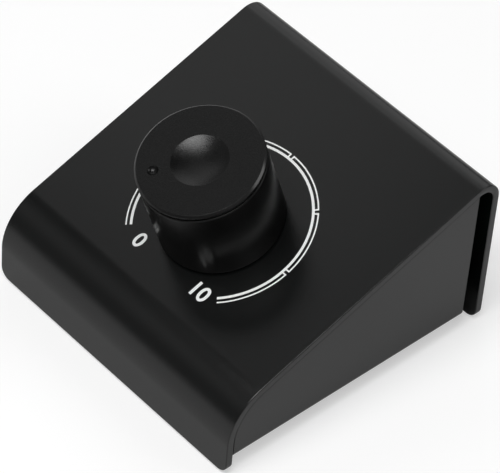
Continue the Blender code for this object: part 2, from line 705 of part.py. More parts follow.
def make_control(panel, axis, bore_top):
    """Bushing, washer, nut, shaft, gangs and cover of the rotary control."""
    plate_top = -(SHEET + SEAT_GAP)
    plate_bottom = plate_top - POT_PLATE
    profile = [(BUSHING_RADIUS, BUSHING_RISE), (BUSHING_RADIUS, plate_top), (POT_RADIUS, plate_top),
               (POT_RADIUS, plate_bottom), (BORE_RADIUS, plate_bottom), (BORE_RADIUS, BUSHING_RISE)]
    bushing = seat(turned("pot_bushing", profile, POT_STEPS, closed=True), parent=panel)
    finish_piece(bushing, BRASS)

    hole = BUSHING_RADIUS + SEAT_GAP
    washer_top = SEAT_GAP + WASHER
    washer = turned("pot_washer", ring_profile(WASHER_RADIUS, hole, SEAT_GAP, washer_top), POT_STEPS, closed=True)
    finish_piece(seat(washer, parent=panel), ZINC)

    nut_bottom = washer_top + SEAT_GAP
    corner = NUT_ACROSS / 2 / math.cos(math.pi / 6)
    nut = seat(rod("pot_nut", corner, nut_bottom, nut_bottom + NUT_HEIGHT, 6), parent=panel)
    drill(nut, "nut_hole", hole, nut_bottom - OVERRUN, nut_bottom + NUT_HEIGHT + OVERRUN, (0, 0, 0), parent=panel)
    finish_piece(nut, NICKEL)

    ends = {}
    for where, top in gang_places().items():
        ends[where] = make_gang(where, top, panel)
        make_rotor("pot_rotor_" + where, top, axis)

    shaft_top = bore_top - SEAT_GAP
    shaft_bottom = gang_places()["rear"] - GANG_HEIGHT
    profile = [(0, shaft_top), (SHAFT_RADIUS - SHAFT_EDGE, shaft_top), (SHAFT_RADIUS, shaft_top - SHAFT_EDGE),
               (SHAFT_RADIUS, shaft_bottom), (0, shaft_bottom)]
    shaft = seat(turned("pot_shaft", profile, POT_STEPS), parent=axis)
    flat = SHAFT_RADIUS - SHAFT_FLAT
    flat_start = BUSHING_RISE + HUB_CLEARANCE
    shave = box("shaft_flat", (-KNOB_WALL - SHAFT_RADIUS, flat, flat_start), (KNOB_WALL + SHAFT_RADIUS, HUB_RADIUS, KNOB_HEIGHT))
    shave.parent = axis
    cut(shaft, hide_cutter(shave))
    finish_piece(shaft, ALUMINIUM)

    cover_top = gang_places()["rear"] - GANG_HEIGHT - WAFER - 2 * SEAT_GAP
    cover = seat(rod("pot_cover", POT_RADIUS, cover_top - POT_COVER, cover_top, POT_STEPS), parent=panel)
    finish_piece(cover, ZINC)
    return ends


def socket_places():
    """Places of the phono sockets in the rear leg, left pair then right pair."""
    return [(side * SOCKET_X, z) for side in (-1, 1) for z in socket_heights()]


def make_phono_sockets():
    """Two blocks, each with two sockets of shell, insulator and contact."""
    low_z, high_z = socket_heights()
    hole = SHELL_RADIUS + SEAT_GAP
    half = SOCKET_BLOCK_HALF
    rear = LEG_INNER - SEAT_GAP
    blocks = {}
    for side, where in ((-1, "left"), (1, "right")):
        x = side * SOCKET_X
        block = box("socket_block_" + where, (x - half, SOCKET_FRONT, low_z - half), (x + half, rear, high_z + half))
        blocks[side] = finish_piece(block, PLASTIC_BLACK)

    length = SOCKET_BLOCK_DEPTH + SEAT_GAP + SHEET + SOCKET_REACH
    mouth = SHELL_RADIUS - SHELL_WALL
    core = mouth - SEAT_GAP
    contact_hole = CONTACT_RADIUS + SEAT_GAP
    shell_profile = [(SHELL_RADIUS - SHELL_EDGE, length), (SHELL_RADIUS, length - SHELL_EDGE), (SHELL_RADIUS, 0),
                     (mouth, 0), (mouth, length)]
    core_profile = ring_profile(core, contact_hole, 0, length - INSULATOR_RECESS)
    contact_profile = ring_profile(CONTACT_RADIUS, CONTACT_RADIUS - CONTACT_WALL, 0,
                                   length - INSULATOR_RECESS - CONTACT_RECESS)
    names = ("left_lower", "left_upper", "right_lower", "right_upper")
    cores = (PLASTIC_RED, PLASTIC_WHITE, PLASTIC_RED, PLASTIC_WHITE)
    for where, core_finish, (x, z) in zip(names, cores, socket_places()):
        place = (x, SOCKET_FRONT, z)
        block = blocks[math.copysign(1, x)]
        drill(block, f"block_hole_{where}", hole, -OVERRUN, SOCKET_BLOCK_DEPTH + OVERRUN, place, TO_REAR)
        shell = turned("socket_shell_" + where, shell_profile, SOCKET_STEPS, closed=True)
        finish_piece(seat(shell, place, TO_REAR), NICKEL)
        insulator = turned("socket_core_" + where, core_profile, SOCKET_STEPS, closed=True)
        finish_piece(seat(insulator, place, TO_REAR), core_finish)
        contact = turned("socket_contact_" + where, contact_profile, SOCKET_STEPS // 2, closed=True)
        finish_piece(seat(contact, place, TO_REAR), NICKEL)


def make_mini_socket():
    """Stereo mini socket: body with its nozzle through the leg, and the ring nut outside."""
    z = mini_socket_height()
    rear = LEG_INNER - SEAT_GAP
    half, tall = MINI_BODY_WIDTH / 2, MINI_BODY_HEIGHT / 2
    body = box("mini_socket_body", (-half, SOCKET_FRONT, z - tall), (half, rear, z + tall))
    nozzle_top = SOCKET_BLOCK_DEPTH + SEAT_GAP + SHEET + MINI_NOZZLE_REACH
    place = (0, SOCKET_FRONT, z)
    nozzle = rod("mini_nozzle", MINI_NOZZLE_RADIUS, MINI_FLOOR, nozzle_top, POT_STEPS)
    cut(body, seat(hide_cutter(nozzle), place, TO_REAR), "UNION")
    drill(body, "mini_bore", MINI_BORE_RADIUS, MINI_FLOOR, nozzle_top + OVERRUN, place, TO_REAR)
    finish_piece(body, PLASTIC_BLACK)
    inner = MINI_NOZZLE_RADIUS + SEAT_GAP
    nut = turned("mini_socket_nut", ring_profile(MINI_NUT_RADIUS, inner, 0, MINI_NUT), POT_STEPS, closed=True)
    finish_piece(seat(nut, (0, Y_REAR + SEAT_GAP, z), TO_REAR), NICKEL)


def make_board():
    """Circuit board that carries the sockets."""
    half = CASE_WIDTH / 2 - PLATE_INSET - PLATE - BOARD_SIDE_ROOM
    low = (-half, BOARD_FRONT, BASE_TOP + BOARD_BOTTOM_ROOM)
    high = (half, BOARD_REAR, top_height(BOARD_FRONT, SHEET) - BOARD_TOP_ROOM)
    finish_piece(box("circuit_board", low, high), LAMINATE)
    return low[2], high[2]


def wire_route(start, heading, end):
    """Smooth drooping way from a pin to the board."""
    pull = (end - start).length / 2
    first = start + heading * pull
    second = end - Vector((0, pull, WIRE_SAG))
    route = []
    for index in range(WIRE_POINTS):
        t = index / (WIRE_POINTS - 1)
        u = 1 - t
        route.append(start * u ** 3 + first * 3 * u * u * t + second * 3 * u * t * t + end * t ** 3)
    return route


def make_wires(ends, board_low, board_high):
    """One wire from each pin of the control to the board."""
    slope = Matrix.Rotation(TOP_SLOPE, 3, "X")
    origin = Vector((0, KNOB_Y, top_height(KNOB_Y)))
    colours = (PLASTIC_WHITE, PLASTIC_RED, PLASTIC_BLACK)
    for (where, (level, reach)), share in zip(ends.items(), WIRE_ROW_SHARES):
        for index in range(PINS):
            x = (index - (PINS - 1) / 2) * PIN_PITCH
            start = origin + slope @ Vector((x, reach + SEAT_GAP, level))
            end = Vector((x, BOARD_FRONT - SEAT_GAP, board_low + (board_high - board_low) * share))
            route = wire_route(start, slope @ Vector((0, 1, 0)), end)
            tube = bpy.data.curves.new(f"wire_{where}_{index + 1}", "CURVE")
            tube.dimensions = "3D"
            tube.bevel_depth = WIRE_RADIUS
            tube.bevel_resolution = 1
            tube.use_fill_caps = True
            spline = tube.splines.new("POLY")
            spline.points.add(len(route) - 1)
            for point, place in zip(spline.points, route):
                point.co = (*place, 1)
            finish_piece(bpy.data.objects.new(tube.name, tube), colours[index])


def main():
    """Build the whole controller."""
    panel = empty("top_panel_frame", (0, KNOB_Y, top_height(KNOB_Y)), (TOP_SLOPE, 0, 0))
    axis = empty("knob_axis", (0, 0, 0), parent=panel)
    make_top_sheet(panel)
    make_base()
    make_brackets()
    make_feet()
    make_screws()
    bore_top = make_knob(axis)
    ends = make_control(panel, axis, bore_top)
    make_phono_sockets()
    make_mini_socket()
    board_low, board_high = make_board()
    make_wires(ends, board_low, board_high)


main()
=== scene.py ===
"""Looks of the desktop volume controller: its sheet metal, knob, dial, sockets and finishes, over its CAD frame.

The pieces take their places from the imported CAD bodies, ride on them and stay inside their box.
Lengths are metres.
"""
import json
import logging
import math
from dataclasses import dataclass, field
from enum import Enum
from functools import lru_cache
from typing import Callable, Iterable, Sequence

import bmesh
import bpy
from bmesh.types import BMesh
from bpy.types import Material, NodeSocket, Object
from mathutils import Matrix, Vector


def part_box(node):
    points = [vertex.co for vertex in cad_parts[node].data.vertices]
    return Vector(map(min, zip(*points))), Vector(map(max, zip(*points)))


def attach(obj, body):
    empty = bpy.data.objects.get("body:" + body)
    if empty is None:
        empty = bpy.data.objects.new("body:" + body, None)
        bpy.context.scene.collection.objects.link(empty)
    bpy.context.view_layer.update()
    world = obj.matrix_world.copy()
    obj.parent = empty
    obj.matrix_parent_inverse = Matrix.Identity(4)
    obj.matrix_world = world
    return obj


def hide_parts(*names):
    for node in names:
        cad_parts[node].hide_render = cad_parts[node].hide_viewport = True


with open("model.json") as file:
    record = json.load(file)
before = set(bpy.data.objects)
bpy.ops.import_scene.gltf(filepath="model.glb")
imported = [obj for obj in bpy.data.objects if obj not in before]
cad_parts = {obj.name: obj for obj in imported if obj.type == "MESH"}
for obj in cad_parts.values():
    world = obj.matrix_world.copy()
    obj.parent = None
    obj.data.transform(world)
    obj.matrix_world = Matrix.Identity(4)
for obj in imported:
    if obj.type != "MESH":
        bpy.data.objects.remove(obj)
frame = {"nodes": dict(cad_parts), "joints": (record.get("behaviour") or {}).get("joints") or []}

LOG = logging.getLogger("controller")

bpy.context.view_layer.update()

Colour = tuple[float, float, float]
Corner = tuple[float, float, float]
Point = tuple[float, float]

WELD = 0.000001
QUARTER_TURN = math.pi / 2
ARC_STEP = math.radians(11.25)
VALLEY, PEAK = 0.3, 0.7
WAVE_PERIOD = math.tau / 20.0


class Body(Enum):
    """The CAD bodies that pieces ride on."""

    CASE = "case"
    KNOB = "knob"


class Slot(Enum):
    """Names of the record's material slots."""

    CASE_PAINT = "case_paint"
    KNOB_GLOSS = "knob_gloss"
    CAP_SATIN = "cap_satin"
    FOOT_RUBBER = "foot_rubber"
    ZINC = "zinc"
    NICKEL = "nickel"
    BLACK_PLASTIC = "black_plastic"
    WHITE_PLASTIC = "white_plastic"
    RED_PLASTIC = "red_plastic"


class Recipe:
    """A material that is being mixed: its shader and the nodes that feed it."""

    def __init__(self, name: str, metallic: float = 0.0, ior: float = 1.5) -> None:
        """Start a material.

        Args:
            name: The material's name.
            metallic: 1 for bare metal, 0 for everything else.
            ior: Index of refraction of the surface.
        """
        self.material: Material = bpy.data.materials.new(name)
        self.material.use_nodes = True
        self.nodes = self.material.node_tree.nodes
        self.links = self.material.node_tree.links
        self.shader = self.nodes["Principled BSDF"]
        self.shader.inputs["Metallic"].default_value = metallic
        self.shader.inputs["IOR"].default_value = ior
        self.where: NodeSocket = self.nodes.new("ShaderNodeTexCoord").outputs["Object"]

    def noise(self, grain: float, detail: float = 2.0, stretch: Corner = (1.0, 1.0, 1.0)) -> NodeSocket:
        """Add a noise pattern on the object's own coordinates.

        Args:
            grain: Size of the pattern's patches.
            detail: How many finer layers it holds.
            stretch: How much finer it runs along X, Y and Z.

        Returns:
            The pattern's value, from 0 to 1.
        """
        mapping = self.nodes.new("ShaderNodeMapping")
        mapping.inputs["Scale"].default_value = stretch
        self.links.new(self.where, mapping.inputs["Vector"])
        texture = self.nodes.new("ShaderNodeTexNoise")
        texture.inputs["Scale"].default_value = 1.0 / grain
        texture.inputs["Detail"].default_value = detail
        self.links.new(mapping.outputs["Vector"], texture.inputs["Vector"])
        return texture.outputs["Fac"]

    def cells(self, grain: float) -> NodeSocket:
        """Add a pattern of rounded cells.

        Args:
            grain: Size of a cell.

        Returns:
            The distance to the nearest cell's middle.
        """
        texture = self.nodes.new("ShaderNodeTexVoronoi")
        texture.inputs["Scale"].default_value = 1.0 / grain
        self.links.new(self.where, texture.inputs["Vector"])
        return texture.outputs["Distance"]

    def bands(self, pitch: float, distortion: float) -> NodeSocket:
        """Add parallel bands along X.

        Args:
            pitch: Distance from one band to the next.
            distortion: How far the bands wander.

        Returns:
            The bands' value, from 0 to 1.
        """
        texture = self.nodes.new("ShaderNodeTexWave")
        texture.inputs["Scale"].default_value = WAVE_PERIOD / pitch
        texture.inputs["Distortion"].default_value = distortion
        self.links.new(self.where, texture.inputs["Vector"])
        return texture.outputs["Fac"]

    def spread(self, value: NodeSocket, low: float, high: float) -> NodeSocket:
        """Stretch a pattern's middle range.

        Args:
            value: The pattern.
            low: Result in the pattern's valleys.
            high: Result on its peaks.

        Returns:
            The stretched value.
        """
        span = self.nodes.new("ShaderNodeMapRange")
        span.inputs["From Min"].default_value = VALLEY
        span.inputs["From Max"].default_value = PEAK
        span.inputs["To Min"].default_value = low
        span.inputs["To Max"].default_value = high
        self.links.new(value, span.inputs["Value"])
        return span.outputs["Result"]

    def tint(self, value: NodeSocket, dark: Colour, light: Colour) -> NodeSocket:
        """Colour a pattern.

        Args:
            value: The pattern.
            dark: Colour of its valleys.
            light: Colour of its peaks.

        Returns:
            The coloured pattern.
        """
        ramp = self.nodes.new("ShaderNodeValToRGB")
        first, last = ramp.color_ramp.elements
        first.position, last.position = VALLEY, PEAK
        first.color, last.color = (*dark, 1.0), (*light, 1.0)
        self.links.new(value, ramp.inputs["Fac"])
        return ramp.outputs["Color"]

    def served(self, colour: NodeSocket, roughness: NodeSocket, *layers: tuple[NodeSocket, float]) -> Material:
        """Feed the shader, with patterns raised above the surface, one bump over another.

        Args:
            colour: The base colour.
            roughness: The roughness.
            layers: Each raised pattern with its height.

        Returns:
            The finished material.
        """
        self.links.new(colour, self.shader.inputs["Base Color"])
        self.links.new(roughness, self.shader.inputs["Roughness"])
        below: NodeSocket | None = None
        for value, height in layers:
            bump = self.nodes.new("ShaderNodeBump")
            bump.inputs["Distance"].default_value = height
            self.links.new(value, bump.inputs["Height"])
            if below is not None:
                self.links.new(below, bump.inputs["Normal"])
            below = bump.outputs["Normal"]
        if below is not None:
            self.links.new(below, self.shader.inputs["Normal"])
        return self.material


def shade(colour: Colour, factor: float) -> Colour:
    """Darken or lighten a colour."""
    return (colour[0] * factor, colour[1] * factor, colour[2] * factor)


@dataclass(frozen=True)
class PowderCoat:
    """Satin powder coat: soft orange peel with a fine grain on top."""

    name: str = "powder_coat"
    colour: Colour = (0.0031, 0.0035, 0.0034)
    smooth: float = 0.17
    rough: float = 0.23
    peel: float = 0.0011
    grain: float = 0.00028
    ior: float = 1.58
    peel_height: float = 0.000004
    grain_height: float = 0.000030

    def mix(self) -> Material:
        """Build the material."""
        recipe = Recipe(self.name, ior=self.ior)
        peel, grain = recipe.noise(self.peel, 1.0), recipe.noise(self.grain, 3.0)
        mottle = recipe.noise(self.peel * 14, 4.0)
        return recipe.served(recipe.tint(mottle, shade(self.colour, 0.93), shade(self.colour, 1.07)),
                             recipe.spread(grain, self.smooth, self.rough),
                             (peel, self.peel_height), (grain, self.grain_height))


@dataclass(frozen=True)
class PolishedLacquer:
    """Black lacquered knob: smooth, with faint handling marks."""

    name: str = "polished_lacquer"
    colour: Colour = (0.0006, 0.0006, 0.0006)
    smooth: float = 0.27
    rough: float = 0.29
    mark: float = 0.0200
    ior: float = 1.36
    height: float = 0.000001

    def mix(self) -> Material:
        """Build the material."""
        recipe = Recipe(self.name, ior=self.ior)
        marks, dust = recipe.noise(self.mark, 2.0), recipe.noise(self.mark / 24, 2.0)
        return recipe.served(recipe.tint(dust, self.colour, shade(self.colour, 1.5)),
                             recipe.spread(marks, self.smooth, self.rough), (dust, self.height))


@dataclass(frozen=True)
class BlastedCap:
    """Bead-blasted black cap: an even fine grain."""

    name: str = "blasted_cap"
    colour: Colour = (0.0014, 0.0015, 0.0015)
    smooth: float = 0.24
    rough: float = 0.31
    grain: float = 0.00022
    ior: float = 1.43
    height: float = 0.000026

    def mix(self) -> Material:
        """Build the material."""
        recipe = Recipe(self.name, ior=self.ior)
        grain, drift = recipe.noise(self.grain, 3.0), recipe.noise(self.grain * 18, 3.0)
        return recipe.served(recipe.tint(drift, shade(self.colour, 0.94), shade(self.colour, 1.06)),
                             recipe.spread(grain, self.smooth, self.rough), (grain, self.height))


@dataclass(frozen=True)
class PolishedRim:
    """Edge of the cap, where handling has polished the finish."""

    name: str = "polished_rim"
    colour: Colour = (0.002, 0.002, 0.002)
    smooth: float = 0.18
    rough: float = 0.24
    grain: float = 0.00060
    ior: float = 1.6

    def mix(self) -> Material:
        """Build the material."""
        recipe = Recipe(self.name, ior=self.ior)
        grain = recipe.noise(self.grain, 3.0)
        return recipe.served(recipe.tint(grain, shade(self.colour, 0.7), self.colour),
                             recipe.spread(grain, self.smooth, self.rough))


@dataclass(frozen=True)
class PrintedInk:
    """Screen-printed white ink with slightly uneven cover."""

    name: str = "printed_ink"
    colour: Colour = (0.93, 0.94, 0.93)
    smooth: float = 0.45
    rough: float = 0.60
    grain: float = 0.00030
    height: float = 0.000004

    def mix(self) -> Material:
        """Build the material."""
        recipe = Recipe(self.name)
        grain = recipe.noise(self.grain, 3.0)
        return recipe.served(recipe.tint(grain, shade(self.colour, 0.94), self.colour),
                             recipe.spread(grain, self.smooth, self.rough), (grain, self.height))


@dataclass(frozen=True)
class PlatedMetal:
    """Bare or plated metal with fine tool marks along one way."""

    name: str
    colour: Colour
    smooth: float = 0.16
    rough: float = 0.32
    grain: float = 0.0016
    stretch: Corner = (1.0, 9.0, 9.0)
    height: float = 0.000003

    def mix(self) -> Material:
        """Build the material."""
        recipe = Recipe(self.name, metallic=1.0)
        marks, stain = recipe.noise(self.grain, 4.0, self.stretch), recipe.noise(self.grain * 3, 3.0)
        return recipe.served(recipe.tint(stain, shade(self.colour, 0.86), self.colour),
                             recipe.spread(marks, self.smooth, self.rough), (marks, self.height))


@dataclass(frozen=True)
class MouldedPlastic:
    """Injection-moulded plastic with a fine spark-eroded skin."""

    name: str
    colour: Colour
    smooth: float = 0.38
    rough: float = 0.52
    grain: float = 0.00035
    ior: float = 1.46
    height: float = 0.000006

    def mix(self) -> Material:
        """Build the material."""
        recipe = Recipe(self.name, ior=self.ior)
        grain, flow = recipe.noise(self.grain, 2.0), recipe.noise(self.grain * 16, 3.0)
        return recipe.served(recipe.tint(flow, shade(self.colour, 0.90), shade(self.colour, 1.08)),
                             recipe.spread(grain, self.smooth, self.rough), (grain, self.height))


@dataclass(frozen=True)
class SoftRubber:
    """Matt rubber with a pitted skin."""

    name: str = "soft_rubber"
    colour: Colour = (0.018, 0.018, 0.018)
    smooth: float = 0.72
    rough: float = 0.90
    grain: float = 0.00045
    height: float = 0.000020

    def mix(self) -> Material:
        """Build the material."""
        recipe = Recipe(self.name)
        pits, dust = recipe.cells(self.grain), recipe.noise(self.grain * 6, 4.0)
        return recipe.served(recipe.tint(dust, self.colour, shade(self.colour, 1.9)),
                             recipe.spread(dust, self.smooth, self.rough), (pits, self.height))


@dataclass(frozen=True)
class FibreLaminate:
    """Resin laminate whose pressed fibres show through."""

    name: str
    colour: Colour
    weave: float = 0.0009
    smooth: float = 0.30
    rough: float = 0.48
    height: float = 0.000010

    def mix(self) -> Material:
        """Build the material."""
        recipe = Recipe(self.name)
        threads, cloud = recipe.bands(self.weave, 2.0), recipe.noise(self.weave * 4, 4.0)
        return recipe.served(recipe.tint(cloud, shade(self.colour, 0.75), shade(self.colour, 1.15)),
                             recipe.spread(threads, self.smooth, self.rough), (threads, self.height))


Finish = (PowderCoat | PolishedLacquer | BlastedCap | PolishedRim | PrintedInk | PlatedMetal | MouldedPlastic
          | SoftRubber | FibreLaminate)


@lru_cache(maxsize=None)
def material_of(finish: Finish) -> Material:
    """The one material of a finish, mixed when it is first asked for."""
    return finish.mix()


CASE_COAT = PowderCoat()
NICKEL = PlatedMetal("nickel_plate", (0.70, 0.68, 0.63))
ZINC = PlatedMetal("zinc_plate", (0.56, 0.57, 0.59), smooth=0.28, rough=0.45)
BRASS = PlatedMetal("turned_brass", (0.72, 0.55, 0.27), smooth=0.22, rough=0.38)
ALUMINIUM = PlatedMetal("turned_aluminium", (0.78, 0.78, 0.79), smooth=0.22, rough=0.38)
BLACK_PLASTIC = MouldedPlastic("black_plastic", (0.014, 0.014, 0.015))
WHITE_PLASTIC = MouldedPlastic("white_plastic", (0.72, 0.72, 0.69))
RED_PLASTIC = MouldedPlastic("red_plastic", (0.46, 0.018, 0.018))
PHENOLIC = FibreLaminate("phenolic_wafer", (0.26, 0.13, 0.05))
BOARD = FibreLaminate("board_laminate", (0.020, 0.13, 0.055))


def arc(centre: Point, radius: float, start: float, end: float) -> list[Point]:
    """Points of an arc, both ends included.

    Args:
        centre: Middle of the arc.
        radius: Its radius.
        start: Angle of the first point.
        end: Angle of the last point.

    Returns:
        The points, in order.
    """
    count = max(3, math.ceil(abs(end - start) / ARC_STEP))
    turns = [start + (end - start) * index / count for index in range(count + 1)]
    return [(centre[0] + radius * math.cos(a), centre[1] + radius * math.sin(a)) for a in turns]


def softened(corners: Sequence[Corner], closed: bool = False) -> list[Point]:
    """Round the corners of a drawn line.

    Args:
        corners: Each corner's two coordinates and its rounding radius.
        closed: Whether the line returns to its first corner.

    Returns:
        The rounded line's points.
    """
    line: list[Point] = []
    count = len(corners)
    for index, (a, b, radius) in enumerate(corners):
        if radius == 0 or (not closed and index in (0, count - 1)):
            line.append((a, b))
            continue
        corner = Vector((a, b))
        back = (Vector(corners[index - 1][:2]) - corner).normalized()
        onward = (Vector(corners[(index + 1) % count][:2]) - corner).normalized()
        opening = back.angle(onward)
        reach = radius / math.tan(opening / 2)
        centre = corner + (back + onward).normalized() * radius / math.sin(opening / 2)
        first, last = corner + back * reach - centre, corner + onward * reach - centre
        start = math.atan2(first.y, first.x)
        sweep = math.atan2(first.x * last.y - first.y * last.x, first.dot(last))
        line += arc((centre.x, centre.y), radius, start, start + sweep)
    return line


def spun(profile: Sequence[Point], steps: int, closed: bool = False) -> BMesh:
    """Spin a profile of radius and height about Z.

    Args:
        profile: The points, from the top inwards or outwards to the bottom.
        steps: How many facets go round.
        closed: Whether the profile returns to its first point, as on a ring.

    Returns:
        The closed turned shape.
    """
    shape = bmesh.new()
    points = [shape.verts.new((radius, 0.0, height)) for radius, height in profile]
    edges = [shape.edges.new(pair) for pair in zip(points, points[1:])]
    if closed:
        edges.append(shape.edges.new((points[-1], points[0])))
    bmesh.ops.spin(shape, geom=points + edges, cent=(0, 0, 0), axis=(0, 0, 1), dvec=(0, 0, 0),
                   angle=math.tau, steps=steps, use_merge=True, use_duplicate=False)
    bmesh.ops.remove_doubles(shape, verts=shape.verts, dist=WELD)
    bmesh.ops.recalc_face_normals(shape, faces=shape.faces)
    return shape


def mesh_of(shape: BMesh, name: str) -> bpy.types.Mesh:
    """Turn a shape into a mesh and free it."""
    mesh = bpy.data.meshes.new(name)
    shape.to_mesh(mesh)
    shape.free()
    return mesh


def placed(name: str, data: bpy.types.ID) -> Object:
    """Put new data into the scene as an object."""
    made = bpy.data.objects.new(name, data)
    bpy.context.scene.collection.objects.link(made)
    return made


def taken(work: Object, *helpers: Object) -> BMesh:
    """Take the evaluated shape of a working object.

    Args:
        work: The object. It is used up.
        helpers: Objects that only it needed, used up too.

    Returns:
        The shape.
    """
    bpy.context.view_layer.update()
    mesh = bpy.data.meshes.new_from_object(work.evaluated_get(bpy.context.evaluated_depsgraph_get()))
    for used in (work, *helpers):
        bpy.data.objects.remove(used, do_unlink=True)
    shape = bmesh.new()
    shape.from_mesh(mesh)
    bpy.data.meshes.remove(mesh)
    return shape


def carved(shape: BMesh, tools: Iterable[BMesh]) -> BMesh:
    """Cut tools' shapes out of a shape.

    Args:
        shape: The closed shape to cut.
        tools: The closed shapes to cut away.

    Returns:
        The shape that is left.
    """
    work = placed("work", mesh_of(shape, "work"))
    cutters = [placed("cutter", mesh_of(tool, "cutter")) for tool in tools]
    for cutter in cutters:
        cut = work.modifiers.new("cut", "BOOLEAN")
        cut.operation, cut.solver, cut.object = "DIFFERENCE", "EXACT", cutter
    left = taken(work, *cutters)
    bmesh.ops.remove_doubles(left, verts=left.verts, dist=WELD)
    return left


def flat_plate(outlines: Sequence[Sequence[Point]], thickness: float, arris: float) -> BMesh:
    """Make a plate with rounded arrises from drawn outlines.

    Args:
        outlines: The outer outline and those of the holes.
        thickness: The plate's thickness. Its upper face lies at zero height.
        arris: Radius of the rounding along every edge.

    Returns:
        The closed plate, with its flat faces whole.
    """
    drawing = bpy.data.curves.new("plate", "CURVE")
    drawing.dimensions, drawing.fill_mode = "2D", "BOTH"
    drawing.extrude = thickness / 2 - arris
    drawing.bevel_depth, drawing.bevel_resolution, drawing.offset = arris, 2, -arris
    for outline in outlines:
        spline = drawing.splines.new("POLY")
        spline.points.add(len(outline) - 1)
        for point, (a, b) in zip(spline.points, outline):
            point.co = (a, b, 0.0, 1.0)
        spline.use_cyclic_u = True
    shape = taken(placed("plate", drawing))
    bmesh.ops.remove_doubles(shape, verts=shape.verts, dist=WELD * 10)
    bmesh.ops.translate(shape, vec=(0, 0, -thickness / 2), verts=shape.verts)
    bmesh.ops.recalc_face_normals(shape, faces=shape.faces)
    return shape


def circle(centre: Point, radius: float, steps: int = 64) -> list[Point]:
    """Points spaced evenly round a circle."""
    turns = [math.tau * index / steps for index in range(steps)]
    return [(centre[0] + radius * math.cos(a), centre[1] + radius * math.sin(a)) for a in turns]


def heading_of(angle: float) -> Vector:
    """Unit vector at an angle."""
    return Vector((math.cos(angle), math.sin(angle)))


@dataclass(frozen=True)
class Bend:
    """One bend of a sheet, after a straight stretch."""

    straight: float
    angle: float
    radius: float


@dataclass(frozen=True)
class SheetPath:
    """The way that a bent sheet's outer face runs in its section, turning left at each bend."""

    start: Point
    heading: float
    bends: tuple[Bend, ...]
    last: float
    fineness: float = math.radians(2.5)

    def length(self) -> float:
        """Length of the flat blank."""
        return sum(bend.straight + bend.radius * bend.angle for bend in self.bends) + self.last

    def creases(self) -> list[float]:
        """Places along the blank where it is sliced so that it can bend."""
        places: list[float] = []
        reached = 0.0
        for bend in self.bends:
            reached += bend.straight
            count = math.ceil(bend.angle / self.fineness)
            arc_length = bend.radius * bend.angle
            places += [reached + arc_length * index / count for index in range(count + 1)]
            reached += arc_length
        return places

    def lay(self, along: float, depth: float) -> Vector:
        """Bend one point of the blank into place.

        Args:
            along: Distance along the blank.
            depth: Distance under the outer face.

        Returns:
            The point in the section.
        """
        point, heading = Vector(self.start), self.heading
        for bend in self.bends:
            if along <= bend.straight:
                break
            point = point + heading_of(heading) * bend.straight
            centre = point + heading_of(heading + QUARTER_TURN) * bend.radius
            along -= bend.straight
            if along <= bend.radius * bend.angle:
                spoke = heading_of(heading - QUARTER_TURN + along / bend.radius)
                return centre + spoke * (bend.radius - depth)
            along -= bend.radius * bend.angle
            heading += bend.angle
            point = centre + heading_of(heading - QUARTER_TURN) * bend.radius
        return point + heading_of(heading) * along + heading_of(heading + QUARTER_TURN) * depth


def folded(plate: BMesh, path: SheetPath, place: Callable[[float, Vector], Vector]) -> BMesh:
    """Bend a flat plate along a path.

    Args:
        plate: The plate, drawn with its length along Y and its outer face at zero height.
        path: The way that its outer face takes.
        place: Gives a point of the model from the distance across the plate and the point in the section.

    Returns:
        The bent plate.
    """
    for crease in path.creases():
        everything = plate.verts[:] + plate.edges[:] + plate.faces[:]
        bmesh.ops.bisect_plane(plate, geom=everything, dist=WELD, plane_co=(0, crease, 0), plane_no=(0, 1, 0))
    for corner in plate.verts:
        corner.co = place(corner.co.x, path.lay(corner.co.y, -corner.co.z))
    bmesh.ops.recalc_face_normals(plate, faces=plate.faces)
    return plate


def swept_bar(radius: float, width: float, height: float, start: float, sweep: float, steps: int) -> BMesh:
    """A flat bar bent round Z.

    Args:
        radius: Radius of the bar's middle line.
        width: Its width along the radius.
        height: Its height above and below zero, as much of each.
        start: Angle at which it starts.
        sweep: Angle through which it runs, clockwise where negative.
        steps: How many facets it has.

    Returns:
        The closed bar.
    """
    shape = bmesh.new()
    signs = ((-1, -1), (1, -1), (1, 1), (-1, 1))
    corners = [(radius + side * width / 2, 0.0, up * height) for side, up in signs]
    end = shape.faces.new([shape.verts.new(corner) for corner in corners])
    bmesh.ops.rotate(shape, verts=shape.verts, matrix=Matrix.Rotation(start, 3, "Z"))
    bmesh.ops.spin(shape, geom=[end, *end.edges, *end.verts], cent=(0, 0, 0), axis=(0, 0, 1), dvec=(0, 0, 0),
                   angle=sweep, steps=steps, use_merge=False, use_duplicate=False)
    bmesh.ops.remove_doubles(shape, verts=shape.verts, dist=WELD)
    bmesh.ops.recalc_face_normals(shape, faces=shape.faces)
    return shape


def merged(shapes: Iterable[BMesh]) -> BMesh:
    """Gather separate closed shapes in one."""
    whole = bmesh.new()
    for shape in shapes:
        mesh = mesh_of(shape, "share")
        whole.from_mesh(mesh)
        bpy.data.meshes.remove(mesh)
    return whole


